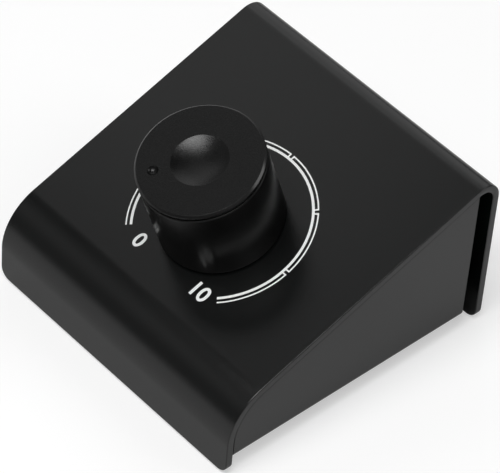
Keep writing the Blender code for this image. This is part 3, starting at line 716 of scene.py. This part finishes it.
@dataclass(frozen=True)
class Piece:
    """What a finished shape is called, wears, rides on and stands for."""

    name: str
    finish: Finish
    slot: Slot
    body: Body = Body.CASE
    stands_for: tuple[str, ...] = ()
    crease: float = math.radians(32.0)
    even: bool = False

    def add(self, shape: BMesh, place: Matrix = Matrix.Identity(4)) -> Object:
        """Put the shape into the scene.

        Args:
            shape: The closed shape. It is used up.
            place: Where it goes.

        Returns:
            The new object, at the origin with its place in its mesh.
        """
        bmesh.ops.transform(shape, matrix=place, verts=shape.verts)
        mesh = mesh_of(shape, self.name)
        mesh.shade_smooth()
        mesh.set_sharp_from_angle(angle=self.crease)
        made = placed(self.name, mesh)
        mesh.materials.append(material_of(self.finish))
        if self.even:
            weighted = made.modifiers.new("even_shading", "WEIGHTED_NORMAL")
            weighted.mode, weighted.keep_sharp = "FACE_AREA", True
        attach(made, self.body.value)
        if self.stands_for:
            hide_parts(*self.stands_for)
        LOG.info("%s: %d faces, rides on %s", self.name, len(mesh.polygons), self.body.value)
        return made


def middle_of(node: str) -> Vector:
    """Middle of a CAD node's box."""
    low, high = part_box(node)
    return (low + high) / 2


def radius_of(node: str) -> float:
    """Half of a CAD node's width."""
    low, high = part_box(node)
    return (high.x - low.x) / 2


def rearward(middle: Vector, y: float) -> Matrix:
    """Place of a turned shape that points to the rear and stands at a distance towards it."""
    return Matrix.Translation((middle.x, y, middle.z)) @ Matrix.Rotation(-QUARTER_TURN, 4, "X")


@dataclass(frozen=True)
class Panel:
    """The sloping top's plane: its origin at the knob's axis, and its slope."""

    origin: Vector
    slope: float

    @classmethod
    def from_frame(cls) -> "Panel":
        """Read the plane from the knob's joint."""
        joint = next(item for item in frame["joints"] if item["child"] == Body.KNOB.value)
        axis = Vector(joint["axis"])
        return cls(Vector(joint["pos_m"]), math.atan2(axis.y, -axis.z))

    def matrix(self) -> Matrix:
        """The plane's own coordinates: X to the right, Y up the slope, Z out of the panel."""
        return Matrix.Translation(self.origin) @ Matrix.Rotation(self.slope, 4, "X")

    def height_at(self, y: float) -> float:
        """Height of the plane at a distance towards the rear."""
        return self.origin.z + (y - self.origin.y) * math.tan(self.slope)


@dataclass
class SheetCase:
    """Top sheet and base, each folded from a flat blank."""

    panel: Panel
    sheet: float = 0.0020
    front_bend: float = 0.0145
    rear_bend: float = 0.0056
    corner: float = 0.0030
    arris: float = 0.00025
    plate: float = 0.0015
    plate_bend: float = 0.0018
    plate_arris: float = 0.00025
    gap: float = 0.0003
    screw_bore: float = 0.0015
    nozzle_bore: float = 0.0030
    thread_share: float = 0.0045 / 0.0085

    def build(self) -> None:
        """Fold and dress both sheets."""
        self.build_top()
        self.build_base()

    def top_path(self) -> SheetPath:
        """Section of the top sheet, from the leg's foot over the top to the lip's edge."""
        low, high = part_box("top_sheet")
        slope = self.panel.slope
        rear_turn, front_turn = QUARTER_TURN + slope, QUARTER_TURN - slope
        rear_reach = self.rear_bend * math.tan(rear_turn / 2)
        front_reach = self.front_bend * math.tan(front_turn / 2)
        leg = self.panel.height_at(high.y) - low.z
        lip = self.panel.height_at(low.y) - low.z
        top = (high.y - low.y) / math.cos(slope)
        bends = (Bend(leg - rear_reach, rear_turn, self.rear_bend),
                 Bend(top - rear_reach - front_reach, front_turn, self.front_bend))
        return SheetPath((high.y, low.z), QUARTER_TURN, bends, lip - front_reach)

    def build_top(self) -> None:
        """Lip, sloping top and rear leg."""
        low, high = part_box("top_sheet")
        path = self.top_path()
        half, length = (high.x - low.x) / 2, path.length()
        rim = [(-half, 0.0, self.corner), (half, 0.0, self.corner),
               (half, length, self.corner), (-half, length, self.corner)]
        outlines = [softened(rim, closed=True)]
        bores = {name: radius_of(name) for name in frame["nodes"] if name.startswith("socket_shell")}
        bores |= {"rear_screw_left": self.screw_bore, "rear_screw_right": self.screw_bore,
                  "mini_socket_body": self.nozzle_bore}
        for node, bore in bores.items():
            middle = middle_of(node)
            outlines.append(circle((middle.x, middle.z - low.z), bore + self.gap))
        reach = (self.panel.origin - Vector((0, high.y, self.panel.height_at(high.y)))).length
        rear_reach = self.rear_bend * math.tan((QUARTER_TURN + self.panel.slope) / 2)
        along = path.bends[0].straight + self.rear_bend * path.bends[0].angle + reach - rear_reach
        outlines.append(circle((0.0, along), radius_of("pot_bushing") * self.thread_share + self.gap))
        blank = flat_plate(outlines, self.sheet, self.arris)
        shape = folded(blank, path, lambda across, section: Vector((across, section.x, section.y)))
        Piece("top_sheet_dressed", CASE_COAT, Slot.CASE_PAINT, stands_for=("top_sheet",), even=True).add(shape)

    def build_base(self) -> None:
        """Floor and side plates."""
        low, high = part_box("base_chassis")
        width, rise = high.x - low.x, high.z - low.z
        bends = (Bend(rise - self.plate_bend, QUARTER_TURN, self.plate_bend),
                 Bend(width - 2 * self.plate_bend, QUARTER_TURN, self.plate_bend))
        path = SheetPath((low.x, high.z), -QUARTER_TURN, bends, rise - self.plate_bend)
        edge = self.side_edge(low, high)
        length = path.length()
        outline = [(y, length - (high.z - z)) for y, z in edge]
        outline += [(y, high.z - z) for y, z in reversed(edge)]
        shape = folded(flat_plate([outline], self.plate, self.plate_arris), path,
                       lambda across, section: Vector((section.x, across, section.y)))
        Piece("base_dressed", CASE_COAT, Slot.CASE_PAINT, stands_for=("base_chassis",), even=True).add(shape)

    def side_edge(self, low: Vector, high: Vector) -> list[Point]:
        """Upper edge of a side plate, from its rear end to where it meets the front curl.

        Args:
            low: Lowest corner of the base.
            high: Highest corner of the base.

        Returns:
            Points of distance to the rear and height.
        """
        inset = self.sheet + self.gap
        drop = inset / math.cos(self.panel.slope)
        curl = self.front_bend - inset
        top_rear = self.panel.height_at(high.y) - drop
        top_front = self.panel.height_at(low.y) - drop
        floor_line = low.z + self.plate_bend
        line = softened([(high.y, top_rear, 0.0), (low.y, top_front, curl), (low.y, floor_line, 0.0)])
        return line[:-1]


@dataclass
class Knob:
    """Tall lacquered knob with its blasted, dished cap."""

    panel: Panel
    radius: float = 0.0156
    height: float = 0.0251
    lift: float = 0.0006
    wall: float = 0.0020
    cap: float = 0.0011
    cap_edge: float = 0.00050
    cap_soft: float = 0.00006
    body_soft: float = 0.00035
    groove: float = 0.0008
    groove_depth: float = 0.0005
    seat: float = 0.0003
    boss_radius: float = 0.0094
    boss_depth: float = 0.0018
    roof: float = 0.0020
    dimple_radius: float = 0.0070
    dimple_depth: float = 0.0013
    dimple_lip: float = 0.00018
    pit_radius: float = 0.00135
    pit_depth: float = 0.0008
    pit_place: float = 0.0111
    pit_angle: float = math.radians(-125.0)
    steps: int = 160

    def build(self) -> None:
        """Turn and dress the body and the cap."""
        self.build_body()
        self.build_cap()

    def build_body(self) -> None:
        """Hollow cylinder under the cap."""
        neck_top = self.height - self.cap - self.seat
        shoulder = self.height - self.cap - self.groove
        recess_floor = self.height - self.cap - self.boss_depth - self.seat
        recess, neck = self.boss_radius + self.seat, self.radius - self.groove_depth
        inside, ceiling = self.radius - self.wall, recess_floor - self.roof
        profile = softened([
            (0.0, recess_floor, 0.0), (recess, recess_floor, 0.0), (recess, neck_top, 0.0),
            (neck, neck_top, 0.0), (neck, shoulder, 0.0), (self.radius, shoulder, self.body_soft),
            (self.radius, self.lift, self.body_soft),
            (inside, self.lift, 0.0003), (inside, ceiling, 0.001), (0.0, ceiling, 0.0)])
        piece = Piece("knob_body_dressed", PolishedLacquer(), Slot.KNOB_GLOSS, Body.KNOB, ("knob_body",))
        piece.add(spun(profile, self.steps), self.panel.matrix())

    def build_cap(self) -> None:
        """Cap with its finger dimple and its pit."""
        bowl = (self.dimple_radius ** 2 + self.dimple_depth ** 2) / (2 * self.dimple_depth)
        reach = math.asin(self.dimple_radius / bowl)
        middle = (0.0, self.height - self.dimple_depth + bowl)
        steps = 10
        turns = [-QUARTER_TURN + reach * index / steps for index in range(steps + 1)]
        dish = [(middle[0] + bowl * math.cos(a), middle[1] + bowl * math.sin(a)) for a in turns]
        under = self.height - self.cap
        corners = [(r, h, 0.0) for r, h in dish[:-1]]
        corners += [(self.dimple_radius, self.height, self.dimple_lip),
                    (self.radius - self.cap_edge, self.height, self.cap_soft),
                    (self.radius, self.height - self.cap_edge, self.cap_soft),
                    (self.radius, under, 0.00015), (self.boss_radius, under, 0.0),
                    (self.boss_radius, under - self.boss_depth, 0.0), (0.0, under - self.boss_depth, 0.0)]
        shape = carved(spun(softened(corners), self.steps), [self.pit_tool()])
        piece = Piece("knob_cap_dressed", BlastedCap(), Slot.CAP_SATIN, Body.KNOB, ("knob_cap",),
                      crease=math.radians(24.0), even=True)
        self.polish_rim(piece.add(shape, self.panel.matrix()))

    def polish_rim(self, cap: Object) -> None:
        """Give the chamfer round the cap its own finish.

        Args:
            cap: The finished cap.
        """
        cap.data.materials.append(material_of(PolishedRim()))
        inward = self.panel.matrix().inverted()
        for face in cap.data.polygons:
            middle = inward @ face.center
            on_rim = math.hypot(middle.x, middle.y) > self.radius - self.cap_edge
            if on_rim and middle.z > self.height - self.cap_edge:
                face.material_index = 1

    def pit_tool(self) -> BMesh:
        """Ball that cuts the pointer's pit."""
        ball = (self.pit_radius ** 2 + self.pit_depth ** 2) / (2 * self.pit_depth)
        place = Vector((self.pit_place * math.cos(self.pit_angle), self.pit_place * math.sin(self.pit_angle),
                        self.height - self.pit_depth + ball))
        tool = bmesh.new()
        bmesh.ops.create_uvsphere(tool, u_segments=48, v_segments=32, radius=ball)
        bmesh.ops.translate(tool, vec=place, verts=tool.verts)
        return tool


@dataclass
class DialPrint:
    """Printed dial: a bold line and a fine line with notches, and plain numbers at the ends of the scale."""

    panel: Panel
    bold_radius: float = 0.02195
    bold_width: float = 0.00066
    fine_radius: float = 0.02315
    fine_width: float = 0.00036
    start: float = math.radians(225.0)
    sweep: float = math.radians(-270.0)
    marks: int = 6
    notch: float = 0.00075
    tick_width: float = 0.00040
    film: float = 0.00002
    over: float = 1.02
    digit_size: float = 0.0056
    digit_bold: float = 0.00012
    low_place: Point = (-0.0106, -0.0172)
    high_place: Point = (0.0110, -0.0172)

    def build(self) -> None:
        """Print the lines and the numbers."""
        ink = PrintedInk()
        lines = Piece("dial_lines", ink, Slot.WHITE_PLASTIC)
        lines.add(merged(self.rings()), self.panel.matrix())
        for name, text, place in (("dial_low", "0", self.low_place), ("dial_high", "10", self.high_place)):
            Piece(name, ink, Slot.WHITE_PLASTIC).add(self.number(text, place), self.panel.matrix())

    def rings(self) -> list[BMesh]:
        """The bold line, and the fine line in stretches that turn in at each notch."""
        bars = [swept_bar(self.bold_radius, self.bold_width, self.film, self.start, self.sweep, 180)]
        step = self.sweep / self.marks
        half_notch = math.copysign(self.notch / 2 / self.fine_radius, step)
        half_tick = math.copysign(self.tick_width / 2 / self.fine_radius, step)
        link_inner = self.bold_radius + self.bold_width / 2
        link_outer = self.fine_radius + self.fine_width / 2
        link_middle, link_width = (link_inner + link_outer) / 2, link_outer - link_inner
        for index in range(self.marks):
            first = self.start + step * index + (half_notch if index else 0.0)
            last = self.start + step * (index + 1) - (half_notch if index + 1 < self.marks else 0.0)
            bars.append(swept_bar(self.fine_radius, self.fine_width, self.film, first, last - first, 30))
            ends = [first + half_tick] * (index > 0) + [last - half_tick] * (index + 1 < self.marks)
            for end in ends:
                bars.append(swept_bar(link_middle, link_width, self.film * self.over, end - half_tick,
                                      2 * half_tick, 2))
        return bars

    def number(self, text: str, place: Point) -> BMesh:
        """A plain number, centred on a place of the panel.

        Args:
            text: The digits.
            place: Where their middle goes, to the right and up the slope.

        Returns:
            The closed thin digits.
        """
        letters = bpy.data.curves.new("digits", "FONT")
        letters.body, letters.size = text, self.digit_size
        letters.align_x, letters.align_y = "CENTER", "CENTER"
        letters.extrude, letters.offset, letters.resolution_u = self.film, self.digit_bold, 8
        shape = taken(placed("digits", letters))
        bmesh.ops.remove_doubles(shape, verts=shape.verts, dist=WELD)
        bmesh.ops.recalc_face_normals(shape, faces=shape.faces)
        bmesh.ops.translate(shape, vec=(*place, 0.0), verts=shape.verts)
        return shape


@dataclass
class PhonoSocket:
    """One phono socket: plated shell, coloured core and slotted contact."""

    place: str
    core_finish: Finish
    core_slot: Slot
    shell_wall: float = 0.0006
    contact_wall: float = 0.0003
    core_recess: float = 0.0010
    contact_recess: float = 0.0006
    groove_near: float = 0.0016
    groove_far: float = 0.0022
    groove_depth: float = 0.00012
    slope: float = 0.0001
    face_ring: float = 0.0006
    face_step: float = 0.0004
    slit_width: float = 0.0004
    slit_depth: float = 0.0030
    gap: float = 0.0003
    steps: int = 64

    def build(self) -> None:
        """Turn and dress the socket's three pieces."""
        low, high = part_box("socket_shell_" + self.place)
        length, seat = high.y - low.y, rearward((low + high) / 2, low.y)
        radius = radius_of("socket_shell_" + self.place)
        core, contact = radius_of("socket_core_" + self.place), radius_of("socket_contact_" + self.place)
        top = length - self.core_recess
        shell = spun(self.shell(radius, length), self.steps, closed=True)
        self.add("socket_shell", NICKEL, Slot.NICKEL, shell, seat)
        self.add("socket_core", self.core_finish, self.core_slot,
                 spun(self.core(core, contact + self.gap, top), self.steps, closed=True), seat)
        tip = top - self.contact_recess
        hollow = contact - self.contact_wall
        tube = softened([(hollow, tip, 0.00012), (contact, tip, 0.00012), (contact, 0.0, 0.0),
                         (hollow, 0.0, 0.0)], closed=True)
        slits = [self.slit(turn, 4 * contact, tip) for turn in (0.0, QUARTER_TURN)]
        self.add("socket_contact", NICKEL, Slot.NICKEL, carved(spun(tube, 32, closed=True), slits), seat)

    def add(self, kind: str, finish: Finish, slot: Slot, shape: BMesh, seat: Matrix) -> None:
        """Put one of the socket's pieces into the scene.

        Args:
            kind: Start of its node's name.
            finish: What it wears.
            slot: Its slot in the record.
            shape: The closed shape.
            seat: Where the socket stands.
        """
        piece = Piece(f"{kind}_dressed_{self.place}", finish, slot, stands_for=(f"{kind}_{self.place}",))
        piece.add(shape, seat)

    def shell(self, radius: float, length: float) -> list[Point]:
        """Section of the shell, with a groove behind its mouth."""
        mouth, bead = radius - self.shell_wall, self.shell_wall * 0.45
        near, far, floor = length - self.groove_near, length - self.groove_far, radius - self.groove_depth
        return softened([(mouth, length, bead), (radius, length, bead), (radius, near, self.slope),
                         (floor, near - self.slope, self.slope), (floor, far + self.slope, self.slope),
                         (radius, far, self.slope), (radius, 0.0, 0.0), (mouth, 0.0, 0.0)], closed=True)

    def core(self, radius: float, bore: float, top: float) -> list[Point]:
        """Section of the core, with a low step round its face."""
        ring, step = radius - self.face_ring, top - self.face_step
        return softened([(bore, top, 0.0002), (ring - 0.0003, top, 0.0001), (ring, step, 0.0001),
                         (radius, step, 0.0001), (radius, 0.0, 0.0), (bore, 0.0, 0.0)], closed=True)

    def slit(self, turn: float, length: float, height: float) -> BMesh:
        """Bar that cuts a slit across the contact's tip."""
        bar = bmesh.new()
        bmesh.ops.create_cube(bar, size=1.0)
        bmesh.ops.scale(bar, vec=(length, self.slit_width, 2 * self.slit_depth), verts=bar.verts)
        bmesh.ops.translate(bar, vec=(0, 0, height), verts=bar.verts)
        bmesh.ops.rotate(bar, verts=bar.verts, matrix=Matrix.Rotation(turn, 3, "Z"))
        return bar


@dataclass
class MiniSocket:
    """Ring nut of the stereo mini socket, with its knurled edge."""

    bore: float = 0.0033
    edge: float = 0.00025
    ridges: int = 48
    knurl: float = 0.00015

    def build(self) -> None:
        """Turn the nut and press its knurl."""
        low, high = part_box("mini_socket_nut")
        radius, height = (high.x - low.x) / 2, high.y - low.y
        profile = softened([(self.bore, height, self.edge), (radius, height, self.edge * 1.6),
                            (radius, 0.0, self.edge), (self.bore, 0.0, 0.0)], closed=True)
        shape = spun(profile, self.ridges * 2, closed=True)
        for corner in shape.verts:
            outward = Vector((corner.co.x, corner.co.y))
            ridge = round(math.atan2(outward.y, outward.x) / (math.tau / (self.ridges * 2)))
            if outward.length > radius - self.edge and ridge % 2:
                corner.co.x *= 1 - self.knurl / radius
                corner.co.y *= 1 - self.knurl / radius
        seat = rearward((low + high) / 2, low.y)
        Piece("mini_socket_nut_dressed", NICKEL, Slot.NICKEL, stands_for=("mini_socket_nut",),
              crease=math.radians(20.0)).add(shape, seat)


@dataclass
class Screws:
    """Pan-head screws with cross recesses."""

    shank: float = 0.0015
    tip: float = 0.0005
    head_height: float = 0.0018
    arm: float = 0.0014
    slot_width: float = 0.0007
    slot_depth: float = 0.0011

    def build(self) -> None:
        """Dress every screw of the frame."""
        for node in sorted(frame["nodes"]):
            if not node.startswith(("base_screw", "rear_screw")):
                continue
            low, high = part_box(node)
            middle, reach = (low + high) / 2, high.y - low.y
            place = rearward(middle, high.y - self.head_height)
            if node.startswith("base_screw"):
                reach = high.z - low.z
                seat = Matrix.Translation((middle.x, middle.y, low.z + self.head_height))
                place = seat @ Matrix.Rotation(math.pi, 4, "X")
            self.add(node, radius_of(node), reach - self.head_height, place)

    def add(self, node: str, head: float, length: float, place: Matrix) -> None:
        """Make one screw.

        Args:
            node: The CAD screw that it stands for.
            head: Radius of its head.
            length: Length of its shank.
            place: Where its head seats, with Z out of the head.
        """
        crown = self.head_height
        profile = softened([(0.0, crown, 0.0), (head, crown, crown * 0.75), (head, 0.0, 0.0001),
                            (self.shank, 0.0, 0.0001), (self.shank, self.tip - length, 0.0),
                            (self.shank - self.tip, -length, 0.0), (0.0, -length, 0.0)])
        tools = []
        for size in ((2 * self.arm, self.slot_width), (self.slot_width, 2 * self.arm)):
            tool = bmesh.new()
            bmesh.ops.create_cube(tool, size=1.0)
            bmesh.ops.scale(tool, vec=(*size, 2 * self.slot_depth), verts=tool.verts)
            bmesh.ops.translate(tool, vec=(0, 0, crown), verts=tool.verts)
            foot = [corner for corner in tool.verts if corner.co.z < crown]
            bmesh.ops.scale(tool, vec=(0.72, 0.72, 1.0), verts=foot)
            tools.append(tool)
        piece = Piece(node + "_dressed", ZINC, Slot.ZINC, stands_for=(node,))
        piece.add(carved(spun(profile, 48), tools), place)


@dataclass
class Feet:
    """Four moulded rubber feet."""

    edge: float = 0.0008
    cup_radius: float = 0.0022
    cup_depth: float = 0.0006

    def build(self) -> None:
        """Dress every foot of the frame."""
        for node in sorted(name for name in frame["nodes"] if name.startswith("foot")):
            low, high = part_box(node)
            middle = (low + high) / 2
            radius, height = (high.x - low.x) / 2, high.z - low.z
            profile = softened([(0.0, height, 0.0), (radius, height, 0.0002), (radius, 0.0, self.edge),
                                (self.cup_radius, 0.0, 0.0003), (self.cup_radius * 0.8, self.cup_depth, 0.0003),
                                (0.0, self.cup_depth, 0.0)])
            Piece(node + "_dressed", SoftRubber(), Slot.FOOT_RUBBER, stands_for=(node,)).add(
                spun(profile, 48), Matrix.Translation((middle.x, middle.y, low.z)))


@dataclass
class InnerWorks:
    """CAD nodes that keep their shape and get their own finish."""

    finishes: dict[str, Finish] = field(default_factory=lambda: {
        "front_bracket": ZINC, "rear_bracket": ZINC, "pot_washer": ZINC, "pot_housing": ZINC, "pot_cover": ZINC,
        "pot_bushing": BRASS, "pot_nut": NICKEL, "pot_pin": NICKEL, "pot_shaft": ALUMINIUM,
        "pot_rotor": BLACK_PLASTIC, "pot_wafer": PHENOLIC, "socket_block": BLACK_PLASTIC,
        "mini_socket_body": BLACK_PLASTIC, "circuit_board": BOARD,
    })
    wires: tuple[Finish, ...] = (WHITE_PLASTIC, RED_PLASTIC, BLACK_PLASTIC)

    def build(self) -> None:
        """Dress the nodes that nothing else stands for."""
        for name, node in frame["nodes"].items():
            finish = next((made for start, made in self.finishes.items() if name.startswith(start)), None)
            if name.startswith("wire"):
                finish = self.wires[int(name[-1]) - 1]
            if finish is None:
                continue
            for slot in node.material_slots:
                slot.material = material_of(finish)
            LOG.info("%s: dressed in %s", name, finish.name)


@dataclass(frozen=True)
class Lamp:
    """A soft rectangular lamp that faces the object."""

    name: str
    direction: Corner
    distance: float
    length: float
    width: float
    watts: float
    along: Corner = (0.0, 1.0, 0.0)

    def add(self, target: Vector) -> None:
        """Hang the lamp and aim it."""
        light = bpy.data.lights.new(self.name, "AREA")
        light.shape, light.size, light.size_y, light.energy = "RECTANGLE", self.length, self.width, self.watts
        lamp = placed(self.name, light)
        towards = Vector(self.direction).normalized()
        across = towards.cross(Vector(self.along)).normalized()
        pose = Matrix((across.cross(towards), across, towards)).transposed().to_4x4()
        pose.translation = target + towards * self.distance
        lamp.matrix_world = pose


@dataclass
class Studio:
    """Pale floor, soft lamps, white surroundings and the photograph's camera."""

    panel: Panel
    aim: Corner = (0.00234, 0.00375, -0.00583)
    azimuth: float = math.radians(45.4085)
    elevation: float = math.radians(44.3984)
    roll: float = math.radians(4.6530)
    distance: float = 0.77724
    photo_width: float = 500.0
    photo_height: float = 473.0
    focal_pixels: float = 3280.97
    middle_column: float = 238.73
    middle_row: float = 234.56
    sensor: float = 36.0
    floor_side: float = 6.0
    floor_white: float = 0.60
    floor_lift: float = 0.47
    sky: tuple[Point, ...] = ((0.0, 0.14), (0.35, 0.14), (0.50, 0.26), (0.66, 0.26), (0.76, 0.04), (1.0, 0.04))
    lamps: tuple[Lamp, ...] = (
        Lamp("key_softbox", (0.085, -0.375, 0.923), 0.98, 0.66, 0.46, 7.3, along=(0.824, 0.471, 0.316)),
        Lamp("left_card", (-0.66, 0.18, 0.73), 0.79, 0.50, 0.50, 0.38),
        Lamp("rear_card", (-0.51, 0.68, 0.52), 0.80, 0.60, 0.55, 0.46),
        Lamp("side_softbox", (0.55, 0.55, 0.62), 1.20, 0.60, 0.60, 2.0),
    )

    def build(self) -> None:
        """Set up the camera, the floor, the lamps and the surroundings."""
        self.add_camera()
        self.add_floor()
        self.light_world()
        for lamp in self.lamps:
            lamp.add(self.target)
        bpy.context.scene.view_settings.view_transform = "Standard"

    @property
    def target(self) -> Vector:
        """The point that the camera looks past and the lamps face."""
        return self.panel.origin + Vector(self.aim)

    def add_camera(self) -> None:
        """Place the camera as the photograph's own."""
        side, rise = self.azimuth, self.elevation
        back = Vector((math.sin(side) * math.cos(rise), -math.cos(side) * math.cos(rise), math.sin(rise)))
        level = Vector((math.cos(side), math.sin(side), 0.0))
        upright = back.cross(level)
        right = level * math.cos(self.roll) + upright * math.sin(self.roll)
        above = back.cross(right)
        data = bpy.data.cameras.new("photo_camera")
        data.sensor_width = self.sensor
        data.lens = self.focal_pixels * self.sensor / self.photo_width
        data.shift_x = (self.photo_width / 2 - self.middle_column) / self.photo_width
        data.shift_y = (self.middle_row - self.photo_height / 2) / self.photo_width
        camera = placed("photo_camera", data)
        pose = Matrix((right, above, back)).transposed().to_4x4()
        pose.translation = self.target + back * self.distance
        camera.matrix_world = pose
        bpy.context.scene.camera = camera

    def add_floor(self) -> None:
        """Lay the white floor. A little light of its own clears its haze for the camera, and shadows stay."""
        shape = bmesh.new()
        bmesh.ops.create_grid(shape, x_segments=1, y_segments=1, size=self.floor_side / 2)
        floor = placed("floor", mesh_of(shape, "floor"))
        material = bpy.data.materials.new("white_floor")
        material.use_nodes = True
        nodes, links = material.node_tree.nodes, material.node_tree.links
        shader = nodes["Principled BSDF"]
        shader.inputs["Base Color"].default_value = (self.floor_white, self.floor_white, self.floor_white, 1.0)
        shader.inputs["Roughness"].default_value = 0.9
        shader.inputs["Specular IOR Level"].default_value = 0.0
        path = nodes.new("ShaderNodeLightPath")
        glow = nodes.new("ShaderNodeEmission")
        lift = nodes.new("ShaderNodeMath")
        lift.operation = "MULTIPLY"
        lift.inputs[1].default_value = self.floor_lift
        links.new(path.outputs["Is Camera Ray"], lift.inputs[0])
        links.new(lift.outputs[0], glow.inputs["Strength"])
        both = nodes.new("ShaderNodeAddShader")
        links.new(shader.outputs["BSDF"], both.inputs[0])
        links.new(glow.outputs["Emission"], both.inputs[1])
        links.new(both.outputs["Shader"], nodes["Material Output"].inputs["Surface"])
        floor.data.materials.append(material)

    def light_world(self) -> None:
        """White surroundings for the camera, and a soft gradient of the studio for everything else."""
        world = bpy.data.worlds.new("studio")
        bpy.context.scene.world = world
        world.use_nodes = True
        nodes, links = world.node_tree.nodes, world.node_tree.links
        where = nodes.new("ShaderNodeTexCoord")
        split = nodes.new("ShaderNodeSeparateXYZ")
        links.new(where.outputs["Generated"], split.inputs["Vector"])
        ramp = nodes.new("ShaderNodeValToRGB")
        stops = ramp.color_ramp.elements
        for stop, (position, level) in zip(tuple(stops), (self.sky[0], self.sky[-1])):
            stop.position, stop.color = position, (level, level, level, 1.0)
        for position, level in self.sky[1:-1]:
            stops.new(position).color = (level, level, level, 1.0)
        links.new(split.outputs["Z"], ramp.inputs["Fac"])
        dim = nodes["Background"]
        links.new(ramp.outputs["Color"], dim.inputs["Color"])
        white = nodes.new("ShaderNodeBackground")
        path = nodes.new("ShaderNodeLightPath")
        mixed = nodes.new("ShaderNodeMixShader")
        white.inputs["Color"].default_value = (1.0, 1.0, 1.0, 1.0)
        links.new(path.outputs["Is Camera Ray"], mixed.inputs["Fac"])
        links.new(dim.outputs["Background"], mixed.inputs[1])
        links.new(white.outputs["Background"], mixed.inputs[2])
        links.new(mixed.outputs["Shader"], nodes["World Output"].inputs["Surface"])


def main() -> None:
    """Build and dress the controller."""
    logging.basicConfig(level=logging.INFO, format="%(message)s")
    panel = Panel.from_frame()
    Studio(panel).build()
    SheetCase(panel).build()
    Knob(panel).build()
    DialPrint(panel).build()
    for place in ("left_lower", "left_upper", "right_lower", "right_upper"):
        upper = place.endswith("upper")
        PhonoSocket(place, WHITE_PLASTIC if upper else RED_PLASTIC,
                    Slot.WHITE_PLASTIC if upper else Slot.RED_PLASTIC).build()
    MiniSocket().build()
    Screws().build()
    Feet().build()
    InnerWorks().build()


if __name__ == "__main__":
    main()
